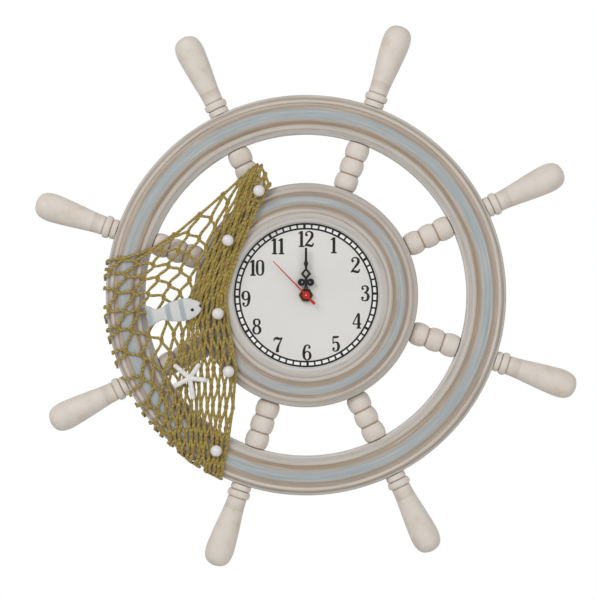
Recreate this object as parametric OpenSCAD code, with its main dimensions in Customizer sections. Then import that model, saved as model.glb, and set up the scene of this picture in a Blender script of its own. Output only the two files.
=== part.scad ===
// Ship wheel wall clock with a fishing net, white beads, a wooden fish and a starfish.
// Frame: x to the right of the dial, z up, y into the wall. The wall is the plane y = 0
// and the clock's arbor is the y axis. Every shape is worked out on the clock's face,
// with x right, y up and z as the height in front of the wall, and hang() stands it up.

/* [Rim] */
// Radius of the rim's outer edge
rim_r = 178; // [174:1:184]
// Width of the rim across its front
rim_w = 34.5; // [33:0.5:38]
// Thickness of the rim
rim_t = 24; // [23:0.5:26]

/* [Hub] */
// Radius of the hub's outer edge
hub_r = 99.5; // [97:0.5:102]
// Thickness of the hub at its highest moulding
hub_t = 33; // [32.5:0.5:35]
// Radius of the dial opening in the hub
dial_r = 64.5; // [62:0.5:66]
// Width of the ledge that holds the dial from in front
ledge_w = 10.5; // [9:0.5:11]
// Depth of the dial below the hub's highest moulding
dial_drop = 8; // [7.5:0.5:8.5]

/* [Spokes and handles] */
// Angle of the first spoke, clockwise from the top
first_spoke = 18.7; // [15:0.1:22]
// Height above the wall of the spokes' and handles' centre line
spoke_h = 14; // [13.8:0.1:15]
// Largest diameter of a spoke's beads
spoke_d = 21; // [18:0.5:22]
// Largest diameter of a handle
handle_d = 25.2; // [23:0.2:27]
// Length of a handle outside the rim
handle_l = 76; // [68:1:80]
// Diameter of the round tenons
tenon_d = 10; // [8:0.5:11]
// Length of the round tenons
tenon_l = 11.5; // [9:0.5:12]

/* [Dial] */
// Thickness of the dial board
board_t = 4; // [3.5:0.5:4.5]
// Thickness of the printed dial
print_t = 0.4; // [0.3:0.1:0.6]
// Thickness of the rubber pad behind the board
pad_t = 1; // [0.8:0.1:1.2]
// Thickness of the brass washer
washer_t = 0.8; // [0.5:0.1:1]
// Width of the hexagonal nut across its flats
nut_flats = 11; // [10:0.5:12]
// Thickness of the hexagonal nut
nut_t = 2.5; // [2:0.1:2.6]

/* [Hands] */
// Length of the hour hand
hour_l = 31.3; // [29:0.1:34]
// Length of the minute hand
minute_l = 41.9; // [38:0.1:46]
// Length of the second hand's needle
second_l = 41.8; // [38:0.1:46]
// Length of the second hand's tail
tail_l = 11; // [8:0.5:14]
// Angle of the second hand, clockwise from the top
second_angle = -44.2; // [-60:0.1:-20]
// Thickness of the hands
hand_t = 0.5; // [0.4:0.05:0.6]

/* [Movement] */
// Side of the square movement
case_w = 56; // [56:0.5:60]
// Thickness of the movement
case_t = 15.5; // [15.5:0.1:16]
// Wall of the movement's shells
case_wall = 1.2; // [1:0.1:1.2]
// Radius of the threaded bush
bush_r = 3.95; // [3.8:0.05:4.2]
// Thickness of the gear wheels
wheel_t = 0.8; // [0.7:0.05:0.8]
// Radius of the setting knob
knob_r = 5; // [4:0.5:6]

/* [Hanger] */
// Width of the hanger plate
hanger_w = 40; // [36:1:44]
// Height of the hanger plate
hanger_h = 16; // [15:0.5:17]
// Thickness of the hanger plate
hanger_t = 1.2; // [1:0.1:1.3]
// Radius of the hanger's entry hole
keyhole_r = 4.5; // [4.2:0.1:4.8]
// Width of the hanger's slot
slot_w = 4; // [3:0.5:4]

/* [Net and trimmings] */
// Diameter of the twine
twine_d = 2; // [1.6:0.1:2.2]
// Half width of a knot
knot_w = 2.1; // [1.6:0.1:2.3]
// Length of the net that is folded over the rim's outer edge
wrap_l = 12; // [8:1:14]
// Depth of the folds where the net is gathered
fold_h = 1.5; // [1:0.1:2]
// Diameter of a bead
bead_d = 10.2; // [9:0.1:11]
// Length of the fish
fish_l = 51; // [46:1:56]
// Thickness of the fish
fish_t = 4; // [3:0.5:5]
// Mean length of the starfish's arms
star_r = 17.2; // [15:0.1:20]
// Thickness of the starfish
star_t = 4; // [3:0.5:5]

/* [Hidden] */

$fn = 96;
spokes = 8;
wood = [0.83, 0.80, 0.76];
steel = [0.72, 0.73, 0.75];
brass = [0.72, 0.60, 0.32];
black_plastic = [0.10, 0.10, 0.11];
white_plastic = [0.90, 0.90, 0.88];

// Clearances: glued wood joints, pieces that lie on each other, shafts that turn in their
// holes, pieces fixed on a shaft, soft pieces over hard ones, and past a cut's far face
glue_gap = 0.1;
lay_gap = 0.05;
run_gap = 0.05;
seat_gap = 0.02;
soft_gap = 0.3;
past = 1;

// Heights in front of the wall
rim_back = spoke_h - rim_t / 2;
rim_front = spoke_h + rim_t / 2;
rim_in = rim_r - rim_w;
rebate_r = dial_r + ledge_w;
dial_z = hub_t - dial_drop;
board_z = dial_z - print_t - board_t;
case_front_z = board_z - pad_t;
case_back_z = case_front_z - case_t;
in_back = case_back_z + case_wall;
in_front = case_front_z - case_wall;
split_z = case_back_z + case_t / 2;
nut_z = dial_z + washer_t;
bush_top = nut_z + nut_t + 0.4;

// Layers of the gear train, counted forward from the back shell
step = wheel_t + 0.6;
seconds_z = in_back + 2.3;
third_z = seconds_z + step + 0.6;
inter_z = third_z + step + 0.2;
plate_z = inter_z + wheel_t + 0.3;
plate_t = 0.7;
centre_z = plate_z + plate_t + 0.6;
minute_z = centre_z + step + 0.6;
hour_z = minute_z + step;
stator_z = seconds_z + 0.6;
stator_t = 0.8;
core_t = 0.8;

// Hands above the bush
hour_hand_z = bush_top + 0.4;
minute_hand_z = hour_hand_z + hand_t + 0.7;
second_hand_z = minute_hand_z + hand_t + 0.7;

// Shafts, from the innermost outwards
seconds_shaft_r = 0.5;
minute_shaft_r = 1.6;
hour_pipe_r = 2.45;
pivot_r = 0.35;
setting_shaft_r = 0.9;
pivot_depth = 0.7;

// Teeth: the rotor turns 30 times for a turn of the second hand, the second hand 60 times
// for a turn of the centre wheel, and the minute hand 12 times for a turn of the hour hand
rotor_teeth = 6;
inter_teeth = 36;
small_teeth = 8;
seconds_teeth = 40;
third_teeth = 60;
centre_teeth = 64;
cannon_teeth = 12;
minute_teeth = 36;
motion_teeth = 10;
hour_teeth = 40;

// Distances between the shafts, and the directions that they lie in from the arbor
third_a = 9.2;
third_dir = 60;
inter_a = 7.2;
inter_dir = -30;
rotor_a = 6.3;
rotor_dir = 0;
minute_a = 9.6;
minute_dir = 180;
third_at = third_a * [cos(third_dir), sin(third_dir)];
inter_at = inter_a * [cos(inter_dir), sin(inter_dir)];
rotor_at = inter_at + rotor_a * [cos(rotor_dir), sin(rotor_dir)];
minute_at = minute_a * [cos(minute_dir), sin(minute_dir)];

// Rotor, stator and coil
magnet_r = 3;
magnet_t = 1.8;
stator_gap = 0.4;
stator_ring = 1.2;
coil_r = 2.9;
flange_r = 3.3;
coil_x = case_w / 2 - case_wall - flange_r - 0.2;
core_w = 2;
arm_w = 3;
coil_low = rotor_at[1] - arm_w / 2;
coil_high = case_w / 2 - 9.5;

// Battery: the cell fills a bay below the gear train, 14.5 mm in diameter and 50.5 mm long
bay_wall = 0.8;
bay_y = -11.6;
cell_gap = 0.3;
cell_back = 0.25;
cell_front = 0.75;
contact_t = 0.4;
contact_room = 1.15;
cell_r = min(bay_y - 0.4 + case_w / 2 - case_wall - cell_gap, case_t - cell_back - cell_front) / 2;
cell_l = case_w - 2 * (case_wall + contact_t + contact_room);
nub_r = 2.75;
nub_l = 1;
cell_y = -case_w / 2 + case_wall + cell_gap + cell_r;
cell_z = case_back_z + cell_back + cell_r;

// Circuit board beside the left wall, and the middle plate's pillars between it and the coil
circuit_x = -case_w / 2 + case_wall + 0.4;
circuit_w = 8;
circuit_low = bay_y + bay_wall + 2.8;
circuit_high = case_w / 2 - 8;
left_x = circuit_x + circuit_w + 3.4;
right_x = coil_x - flange_r - 0.5;
low_y = bay_y + bay_wall + 1.4;
high_y = case_w / 2 - 10.5;
pillars = [[left_x, high_y], [10.5, coil_high + 2], [left_x, low_y], [right_x, low_y]];
plate_edge = 2;
plate_low = bay_y + 0.6;
plate_high = coil_high + 4;
pillar_r = 1.2;
peg_r = 0.7;

// Hanger plate in the back of the hub, centred under the top
hanger_y = (rebate_r + hub_r) / 2;
hanger_depth = 2.6;
hanger_pocket = 8;
hanger_screw_x = hanger_w / 2 - 5;
entry_y = hanger_y - hanger_h / 2 + keyhole_r + 0.8;
slot_end_y = hanger_y + hanger_h / 2 - slot_w / 2 - 1.2;

// Dial screws in the ledge, as head radius, head height, shank radius and length
screw_n = 4;
screw_ring = (dial_r + 3 + rebate_r) / 2;
screw = [2.8, 1.6, 1.4, 9];
plate_screw = [2.6, 1.1, 1.3, 8];
print_r = dial_r + 3;

// Stands a shape that was worked out on the clock's face upright against the wall
module hang() rotate([90, 0, 0]) children();

// A point of the face at a radius and an angle clockwise from the top
function at(r, a) = [r * sin(a), r * cos(a)];

// Angle of spoke and handle k, clockwise from the top: the holes were drilled a little off
drilled = [0.9, 0.5, 0.4, 0, 0, -0.3, 0.3, 0.8];
function spoke_turn(k) = first_spoke + (k - 1) * 360 / spokes + drilled[k - 1];

// Puts children, with their length along z, on spoke k's centre line
module along_spoke(k) {
  translate([0, 0, spoke_h])
    rotate([0, 0, -spoke_turn(k)])
      rotate([-90, 0, 0])
        children();
}

// A ring between two radii and two heights
module ring(r_out, r_in, z, h) {
  translate([0, 0, z])
    difference() {
      cylinder(h = h, r = r_out);
      translate([0, 0, -past]) cylinder(h = h + 2 * past, r = r_in);
    }
}

// A cylinder with its foot at a place on the face
module post(p, z, h, r) translate([p[0], p[1], z]) cylinder(h = h, r = r);

// Points of a rounded moulding from r0 to r1, standing h above z
function bead_points(r0, r1, z, h, n = 6) =
  [for (k = [0 : n]) let (a = 180 * k / n)
    [(r0 + r1) / 2 - (r1 - r0) / 2 * cos(a), z + h * sin(a)]];

// Section of the rim, from its inner wall over the front to its outer wall
rim_edge = 5;
rim_bead = 4.5;
rim_lip = 3;
rim_groove = 2.2;
rim_profile = concat(
  [[rim_in + 1, rim_back], [rim_in, rim_back + 1], [rim_in, rim_front - rim_edge],
   [rim_in + 1.2, rim_front - 3.6], [rim_in + 3, rim_front - 2.8]],
  bead_points(rim_in + 4, rim_in + 4 + rim_bead, rim_front - rim_groove, 1),
  [[rim_in + 10, rim_front - 1], [rim_in + 11.5, rim_front - 0.2],
   [rim_in + 13, rim_front],
   [rim_r - rim_lip - rim_bead - 4, rim_front],
   [rim_r - rim_lip - rim_bead - 2.5, rim_front - 0.3],
   [rim_r - rim_lip - rim_bead - 1, rim_front - 1.2]],
  bead_points(rim_r - rim_lip - rim_bead, rim_r - rim_lip, rim_front - rim_groove, 1.6),
  [[rim_r - rim_lip + 0.6, rim_front - rim_groove - 1],
   [rim_r - 1.2, rim_front - rim_groove - 1], [rim_r - 0.3, rim_front - rim_edge + 0.6],
   [rim_r, rim_front - rim_edge - 1], [rim_r, rim_back + 1], [rim_r - 1, rim_back]]
);

// Section of the hub, from its bezel out over the front to its outer wall
hub_edge = 6;
hub_profile = concat(
  [[rebate_r, 0], [rebate_r, dial_z], [dial_r, dial_z], [dial_r, hub_t - 3],
   [dial_r + 0.6, hub_t - 1.6], [dial_r + 2, hub_t - 0.6]],
  bead_points(dial_r + 3, dial_r + 8, hub_t - 0.6, 0.6),
  bead_points(dial_r + 8.8, dial_r + 12.4, hub_t - 1.2, 0.5),
  [[dial_r + 13.6, hub_t - 2], [dial_r + 15, hub_t - 1.2], [dial_r + 16.5, hub_t - 1],
   [dial_r + 23.3, hub_t - 1], [dial_r + 24.8, hub_t - 1.3], [dial_r + 26, hub_t - 2.2]],
  bead_points(dial_r + 26.6, dial_r + 30, hub_t - 2.4, 1),
  [[hub_r - 3.6, hub_t - 3.4], [hub_r - 1.6, hub_t - 3.9],
   [hub_r - 0.4, hub_t - hub_edge + 0.6], [hub_r, hub_t - hub_edge - 1.5],
   [hub_r, 1], [hub_r - 1, 0]]
);

module rim() {
  color(wood) hang() difference() {
    rotate_extrude() polygon(rim_profile);
    for (k = [1 : spokes]) {
      along_spoke(k) translate([0, 0, rim_r - tenon_l - glue_gap * 5])
        cylinder(h = tenon_l + 5, d = tenon_d + 2 * glue_gap);
      along_spoke(k) translate([0, 0, rim_in - 5])
        cylinder(h = tenon_l + 5 + glue_gap * 5, d = tenon_d + 2 * glue_gap);
    }
  }
}

module hub() {
  color(wood) hang() difference() {
    rotate_extrude() polygon(hub_profile);
    for (k = [1 : spokes])
      along_spoke(k) translate([0, 0, hub_r - tenon_l - glue_gap * 5])
        cylinder(h = tenon_l + 5, d = tenon_d + 2 * glue_gap);
    for (k = [0 : screw_n - 1])
      post(at(screw_ring, 45 + k * 360 / screw_n), dial_z - past, past + 5.5, screw[2] + run_gap);
    translate([-hanger_w / 2 - glue_gap, hanger_y - hanger_h / 2 - glue_gap, -past])
      cube([hanger_w + 2 * glue_gap, hanger_h + 2 * glue_gap, hanger_depth + past]);
    translate([-keyhole_r - 1.5, hanger_y - hanger_h / 2 + 1, 0])
      cube([2 * keyhole_r + 3, hanger_h - 2, hanger_pocket]);
    for (s = [-1, 1])
      post([s * hanger_screw_x, hanger_y], hanger_depth - past, past + 8, plate_screw[2] + run_gap);
  }
}

// A turned spoke: three barrel beads between two short necks, with a tenon at each end
spoke_l = rim_in - hub_r - glue_gap - 0.4;
spoke_neck = 8.2;
module spoke(k) {
  bead_l = spoke_l / 3;
  color(wood) hang() along_spoke(k) translate([0, 0, hub_r + glue_gap]) rotate_extrude()
    polygon(concat(
      [[0, -tenon_l], [tenon_d / 2 - 0.5, -tenon_l], [tenon_d / 2, -tenon_l + 0.5],
       [tenon_d / 2, 0]],
      [for (b = [0 : 2], q = [0 : 6])
        let (u = (q - 3) / 3)
        [spoke_neck + (spoke_d / 2 - spoke_neck) * sqrt(1 - pow(abs(u), 2.6)),
         bead_l * (b + 0.5 + 0.5 * u * 0.96)]],
      [[tenon_d / 2, spoke_l], [tenon_d / 2, spoke_l + tenon_l - 0.5],
       [tenon_d / 2 - 0.5, spoke_l + tenon_l], [0, spoke_l + tenon_l]]
    ));
}

// Half widths of a handle, as shares of its largest, at shares of its length
handle_shape = [
  [0.000, 0.70], [0.052, 0.72], [0.068, 0.64], [0.080, 0.76], [0.112, 0.81], [0.142, 0.78],
  [0.158, 0.67], [0.178, 0.72], [0.240, 0.71], [0.320, 0.74], [0.450, 0.83], [0.580, 0.91],
  [0.700, 0.97], [0.790, 1.00], [0.860, 0.96], [0.920, 0.85], [0.960, 0.67], [0.985, 0.44],
  [1.000, 0.14]
];

module handle(k) {
  color(wood) hang() along_spoke(k) translate([0, 0, rim_r + glue_gap]) rotate_extrude()
    polygon(concat(
      [[0, -tenon_l], [tenon_d / 2 - 0.5, -tenon_l], [tenon_d / 2, -tenon_l + 0.5],
       [tenon_d / 2, 0]],
      [for (p = handle_shape) [p[1] * handle_d / 2, p[0] * handle_l]],
      [[0, handle_l]]
    ));
}

module dial_board() {
  color([0.70, 0.58, 0.42]) hang() difference() {
    ring(rebate_r - glue_gap * 3, bush_r + 0.25, board_z, board_t);
    for (k = [0 : screw_n - 1])
      post(at(screw_ring, 45 + k * 360 / screw_n), board_z - past, board_t + 2 * past,
        screw[2] + run_gap);
  }
}

module dial_print()
  color([0.87, 0.87, 0.85]) hang() ring(print_r, bush_r + 0.25, dial_z - print_t, print_t);

// A pan head screw with a straight slot, pointing forward, with its head's foot at height z
module pan_screw(p, z, s) {
  difference() {
    union() {
      post(p, z - s[1], s[1], s[0]);
      post(p, z - s[1] / 2, s[3] + s[1] / 2, s[2]);
    }
    translate([p[0] - s[0] - past, p[1] - 0.35, z - s[1] - past])
      cube([2 * (s[0] + past), 0.7, past + 0.6]);
  }
}

module dial_screws()
  color(steel) hang() for (k = [0 : screw_n - 1])
    pan_screw(at(screw_ring, 45 + k * 360 / screw_n), board_z, screw);

module hanger_plate() {
  color(brass) hang() translate([0, 0, hanger_depth - hanger_t]) difference() {
    translate([-hanger_w / 2, hanger_y - hanger_h / 2, 0]) cube([hanger_w, hanger_h, hanger_t]);
    post([0, entry_y], -past, hanger_t + 2 * past, keyhole_r);
    translate([-slot_w / 2, entry_y, -past])
      cube([slot_w, slot_end_y - entry_y, hanger_t + 2 * past]);
    post([0, slot_end_y], -past, hanger_t + 2 * past, slot_w / 2);
    for (s = [-1, 1])
      post([s * hanger_screw_x, hanger_y], -past, hanger_t + 2 * past, plate_screw[2] + run_gap);
  }
}

module hanger_screws()
  color(steel) hang() for (s = [-1, 1])
    pan_screw([s * hanger_screw_x, hanger_y], hanger_depth - hanger_t, plate_screw);

// Outline of the movement's square shell with cut corners
module case_outline(w, cut = 2) {
  h = w / 2;
  polygon([[-h + cut, -h], [h - cut, -h], [h, -h + cut], [h, h - cut],
    [h - cut, h], [-h + cut, h], [-h, h - cut], [-h, -h + cut]]);
}

module case_front() {
  color(black_plastic) hang() difference() {
    union() {
      translate([0, 0, split_z + lay_gap])
        linear_extrude(case_front_z - split_z - lay_gap) case_outline(case_w);
      post([0, 0], case_front_z - case_wall, bush_top - case_front_z + case_wall, bush_r);
    }
    translate([0, 0, split_z - past])
      linear_extrude(in_front - split_z + past) case_outline(case_w - 2 * case_wall, 1);
    translate([-cell_l / 2 - 1, cell_y - 4, split_z])
      cube([cell_l + 2, 8, cell_z + cell_r + 0.15 - split_z]);
    post([0, 0], in_front - past, bush_top, hour_pipe_r + run_gap);
    post(third_at, in_front - past, past + pivot_depth + 0.2, seconds_shaft_r + run_gap);
    post(minute_at, in_front - past, past + pivot_depth + 0.2, setting_shaft_r + run_gap);
  }
}

module case_back() {
  color(black_plastic) hang() difference() {
    union() {
      difference() {
        translate([0, 0, case_back_z])
          linear_extrude(split_z - case_back_z) case_outline(case_w);
        translate([0, 0, in_back])
          linear_extrude(case_t) case_outline(case_w - 2 * case_wall, 1);
      }
      translate([-case_w / 2 + case_wall / 2, bay_y, in_back - case_wall / 2])
        cube([case_w - case_wall, bay_wall, split_z - in_back + case_wall / 2]);
      for (p = pillars) {
        post(p, in_back - case_wall / 2, plate_z - in_back + case_wall / 2, pillar_r);
        post(p, plate_z - past, past + plate_t * 0.8, peg_r);
      }
      for (p = [[coil_x, coil_low + arm_w / 2], [coil_x, coil_high - arm_w / 2]])
        post(p, in_back - case_wall / 2, stator_z - in_back + case_wall / 2 - lay_gap, 1);
    }
    translate([-cell_l / 2 - 1, cell_y - cell_r - 0.1, case_back_z - past])
      cube([cell_l + 2, 2 * cell_r + 0.3, case_wall + past + 0.01]);
    post([0, 0], in_back - pivot_depth - 0.2, case_wall, seconds_shaft_r + run_gap);
    post(third_at, in_back - pivot_depth - 0.2, case_wall, seconds_shaft_r + run_gap);
    post(inter_at, in_back - pivot_depth - 0.2, case_wall, pivot_r + run_gap);
    post(rotor_at, in_back - pivot_depth - 0.2, case_wall, pivot_r + run_gap);
    post(minute_at, case_back_z - past, case_wall + 2 * past, setting_shaft_r + run_gap);
  }
}

module middle_plate() {
  color(white_plastic) hang() difference() {
    translate([left_x - plate_edge, plate_low, plate_z])
      cube([right_x - left_x + 2 * plate_edge, plate_high - plate_low, plate_t]);
    for (p = pillars) post(p, plate_z - past, plate_t + 2 * past, peg_r + lay_gap);
    post([0, 0], plate_z - past, plate_t + 2 * past, seconds_shaft_r + 0.3);
    post(third_at, plate_z - past, plate_t + 2 * past, seconds_shaft_r + 0.3);
    post(minute_at, plate_z - past, plate_t + 2 * past, setting_shaft_r + 0.3);
    post(inter_at, plate_z - past, plate_t * 0.8 + past, pivot_r + run_gap);
    post(rotor_at, plate_z - past, plate_t * 0.8 + past, pivot_r + run_gap);
  }
}

module rubber_pad()
  color([0.15, 0.15, 0.15]) hang() ring(15, bush_r + 0.25, case_front_z, pad_t);

module dial_washer() color(brass) hang() ring(7, bush_r + 0.2, dial_z, washer_t);

module hex_nut() {
  color(brass) hang() difference() {
    translate([0, 0, nut_z]) cylinder(h = nut_t, r = nut_flats / sqrt(3), $fn = 6);
    post([0, 0], nut_z - past, nut_t + 2 * past, bush_r + run_gap);
  }
}

// Outline of a gear with n teeth whose pitch circle has radius r, turned so that a tooth,
// or a gap when gap is 1, points in the direction a
module gear_outline(n, r, a, gap = 0) {
  m = 2 * r / n;
  tip = r + 0.8 * m;
  root = r - 1.15 * m;
  function half(share) = share * 360 / n;
  polygon([for (k = [0 : n - 1], c = [[root, -0.27], [tip, -0.10], [tip, 0.10], [root, 0.27]])
    let (t = a + (k + gap / 2) * 360 / n + half(c[1]))
    c[0] * [cos(t), sin(t)]]);
}

// A gear with its foot at height z, around a shaft's place
module gear(p, z, h, n, r, a, gap = 0)
  translate([p[0], p[1], z]) linear_extrude(h) gear_outline(n, r, a, gap);

// Pitch radii of both gears of a pair
function wheel_pitch(n, mate, dist) = dist * n / (n + mate);

module hour_wheel() {
  color(white_plastic) hang() difference() {
    union() {
      gear([0, 0], hour_z, wheel_t, hour_teeth,
        wheel_pitch(hour_teeth, motion_teeth, minute_a), minute_dir, 1);
      post([0, 0], hour_z, hour_hand_z + hand_t - hour_z, hour_pipe_r);
    }
    post([0, 0], hour_z - past, hour_hand_z + hand_t + 2 * past, minute_shaft_r + run_gap);
  }
}

// A curled loop of flat metal around a hole
module loop(p, r_out, r_in) translate(p) difference() { circle(r = r_out); circle(r = r_in); }

// An upright lozenge with an open middle
module lozenge(y0, y1, w, wall) {
  mid = (y0 + y1) / 2;
  difference() {
    polygon([[0, y0], [w, mid], [0, y1], [-w, mid]]);
    polygon([[0, y0 + 2 * wall], [w - wall, mid], [0, y1 - 2 * wall], [-w + wall, mid]]);
  }
}

// Outline of a curled hand: a boss, a small loop, two scrolls, a lozenge and a pointed blade
module hand_outline(l, boss, scroll, w, blade) {
  circle(r = boss);
  loop([0, 6.4], 1.9, 0.8);
  for (s = [-1, 1]) loop([s * (scroll + 0.75), 11.4], scroll, scroll - 1.35);
  polygon([[-1, 7.6], [1, 7.6], [1.3, 15.4], [-1.3, 15.4]]);
  lozenge(13.4, 24.4, w, 1.5);
  polygon([[-0.8, 23.2], [0.8, 23.2], [1.0, 25.5], [1.9, 28], [blade, 30.4],
    [blade * 0.8, l], [-blade * 0.8, l], [-blade, 30.4], [-1.9, 28], [-1.0, 25.5]]);
}

module hour_hand() {
  color("black") hang() translate([0, 0, hour_hand_z]) difference() {
    linear_extrude(hand_t) hand_outline(hour_l, 5, 3.3, 4.7, 1.0);
    translate([0, 0, -past]) cylinder(h = hand_t + 2 * past, r = hour_pipe_r + seat_gap);
  }
}

module minute_arbor() {
  low = centre_z - 0.35;
  color(brass) hang() difference() {
    union() {
      post([0, 0], low, minute_hand_z + hand_t - low, minute_shaft_r);
      post([0, 0], low, 0.25, minute_shaft_r + 0.8);
      gear([0, 0], minute_z - 0.1, wheel_t + 0.2, cannon_teeth,
        wheel_pitch(cannon_teeth, minute_teeth, minute_a), minute_dir);
    }
    post([0, 0], low - past, minute_hand_z + hand_t + past, seconds_shaft_r + run_gap);
  }
}

module minute_hand() {
  color("black") hang() translate([0, 0, minute_hand_z]) difference() {
    linear_extrude(hand_t) hand_outline(minute_l, 4, 2.7, 4, 0.95);
    translate([0, 0, -past]) cylinder(h = hand_t + 2 * past, r = minute_shaft_r + seat_gap);
  }
}

module minute_wheel() {
  low = case_back_z - 3.5;
  color(white_plastic) hang() union() {
    gear(minute_at, minute_z, wheel_t, minute_teeth,
      wheel_pitch(minute_teeth, cannon_teeth, minute_a), minute_dir + 180, 1);
    gear(minute_at, minute_z + wheel_t - 0.1, hour_z - minute_z + 0.2, motion_teeth,
      wheel_pitch(motion_teeth, hour_teeth, minute_a), minute_dir + 180);
    post(minute_at, low, in_front + pivot_depth - low, setting_shaft_r);
  }
}

module set_knob() {
  color(black_plastic) hang() translate([minute_at[0], minute_at[1], case_back_z - 3.5])
    difference() {
      cylinder(h = 3, r = knob_r);
      translate([0, 0, -past]) cylinder(h = 3 + 2 * past, r = setting_shaft_r + seat_gap);
      for (k = [0 : 11]) rotate([0, 0, 30 * k]) translate([knob_r + 0.2, 0, -past])
        cylinder(h = 3 + 2 * past, r = 0.6);
    }
}

module centre_wheel() {
  color(white_plastic) hang() difference() {
    gear([0, 0], centre_z, wheel_t, centre_teeth,
      wheel_pitch(centre_teeth, small_teeth, third_a), third_dir, 1);
    post([0, 0], centre_z - past, wheel_t + 2 * past, minute_shaft_r + run_gap);
  }
}

module third_wheel() {
  color(white_plastic) hang() union() {
    gear(third_at, third_z, wheel_t, third_teeth,
      wheel_pitch(third_teeth, small_teeth, third_a), third_dir + 180, 1);
    gear(third_at, centre_z - 0.1, wheel_t + 0.2, small_teeth,
      wheel_pitch(small_teeth, centre_teeth, third_a), third_dir + 180);
    post(third_at, in_back - pivot_depth, in_front - in_back + 2 * pivot_depth, seconds_shaft_r);
  }
}

module seconds_wheel() {
  color(white_plastic) hang() union() {
    gear([0, 0], seconds_z, wheel_t, seconds_teeth,
      wheel_pitch(seconds_teeth, small_teeth, inter_a), inter_dir, 1);
    gear([0, 0], third_z - 0.1, wheel_t + 0.2, small_teeth,
      wheel_pitch(small_teeth, third_teeth, third_a), third_dir);
    post([0, 0], in_back - pivot_depth, second_hand_z + hand_t - in_back + pivot_depth,
      seconds_shaft_r);
  }
}

module second_hand() {
  color("red") hang() rotate([0, 0, -second_angle]) difference() {
    union() {
      translate([0, 0, second_hand_z]) linear_extrude(hand_t) union() {
        circle(r = 3.4);
        polygon([[-0.7, 0], [0.7, 0], [0.35, second_l], [-0.35, second_l]]);
        polygon([[-0.8, 0], [-1.3, -tail_l], [1.3, -tail_l], [0.8, 0]]);
      }
      post([0, 0], second_hand_z - 0.4, 0.5, 1.2);
    }
    post([0, 0], second_hand_z - 1, hand_t + 2, seconds_shaft_r + seat_gap);
  }
}

module intermediate_wheel() {
  color(white_plastic) hang() union() {
    gear(inter_at, inter_z, wheel_t, inter_teeth,
      wheel_pitch(inter_teeth, rotor_teeth, rotor_a), rotor_dir, 1);
    gear(inter_at, seconds_z - 0.1, wheel_t + 0.2, small_teeth,
      wheel_pitch(small_teeth, seconds_teeth, inter_a), inter_dir + 180);
    post(inter_at, in_back - pivot_depth, plate_z + 0.4 - in_back + pivot_depth, pivot_r);
  }
}

module rotor() {
  color(steel) hang() union() {
    post(rotor_at, stator_z + (stator_t - magnet_t) / 2, magnet_t, magnet_r);
    gear(rotor_at, inter_z - 0.1, wheel_t + 0.2, rotor_teeth,
      wheel_pitch(rotor_teeth, inter_teeth, rotor_a), rotor_dir + 180);
    post(rotor_at, in_back - pivot_depth, plate_z + 0.4 - in_back + pivot_depth, pivot_r);
  }
}

module stator() {
  ring_r = magnet_r + stator_gap + stator_ring;
  color(steel) hang() difference() {
    union() {
      post(rotor_at, stator_z, stator_t, ring_r);
      translate([rotor_at[0], coil_low, stator_z])
        cube([coil_x + core_w - rotor_at[0], arm_w, stator_t]);
      translate([rotor_at[0] + ring_r - arm_w - 0.4, rotor_at[1] + magnet_r, stator_z])
        cube([arm_w, coil_high - rotor_at[1] - magnet_r, stator_t]);
      translate([rotor_at[0] + ring_r - arm_w - 0.4, coil_high - arm_w, stator_z])
        cube([coil_x + core_w - rotor_at[0] - ring_r + arm_w + 0.4, arm_w, stator_t]);
    }
    post(rotor_at, stator_z - past, stator_t + 2 * past, magnet_r + stator_gap);
  }
}

module coil_core()
  color(steel) hang() translate([coil_x - core_w / 2, coil_low, stator_z + stator_t])
    cube([core_w, coil_high - coil_low, core_t]);

module coil() {
  low = coil_low + arm_w + 0.5;
  high = coil_high - arm_w - 0.5;
  color([0.72, 0.38, 0.18]) hang() difference() {
    translate([coil_x, low, stator_z + stator_t + core_t / 2]) rotate([-90, 0, 0]) union() {
      cylinder(h = high - low, r = coil_r);
      cylinder(h = 0.8, r = flange_r);
      translate([0, 0, high - low - 0.8]) cylinder(h = 0.8, r = flange_r);
    }
    translate([coil_x - core_w / 2 - lay_gap, low - past, stator_z + stator_t - lay_gap])
      cube([core_w + 2 * lay_gap, high - low + 2 * past, core_t + 2 * lay_gap]);
  }
}

module circuit_board() {
  color([0.12, 0.35, 0.18]) hang() union() {
    translate([circuit_x, circuit_low, in_back + 0.4])
      cube([circuit_w, circuit_high - circuit_low, 0.8]);
    post([circuit_x + circuit_w / 2, circuit_high - 6], in_back + 1, 1.2, 2.5);
  }
}

module quartz_crystal()
  color(steel) hang() translate([circuit_x + circuit_w / 2, 0, in_back + 1.2 + 1 + lay_gap])
    rotate([-90, 0, 0]) cylinder(h = 6, r = 1);

// A contact of the battery, standing between the cell's end and the shell's wall
module contact(s) {
  x = cell_l / 2 + 0.2;
  color(steel) hang() translate([s > 0 ? x : -x - contact_t, cell_y - 4, in_back + 0.3])
    cube([contact_t, 8, split_z - in_back]);
}

module battery() {
  color([0.75, 0.62, 0.30]) hang() translate([-cell_l / 2, cell_y, cell_z]) rotate([0, 90, 0])
    union() {
      cylinder(h = cell_l - nub_l, r = cell_r);
      cylinder(h = cell_l, r = nub_r);
    }
}

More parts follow.
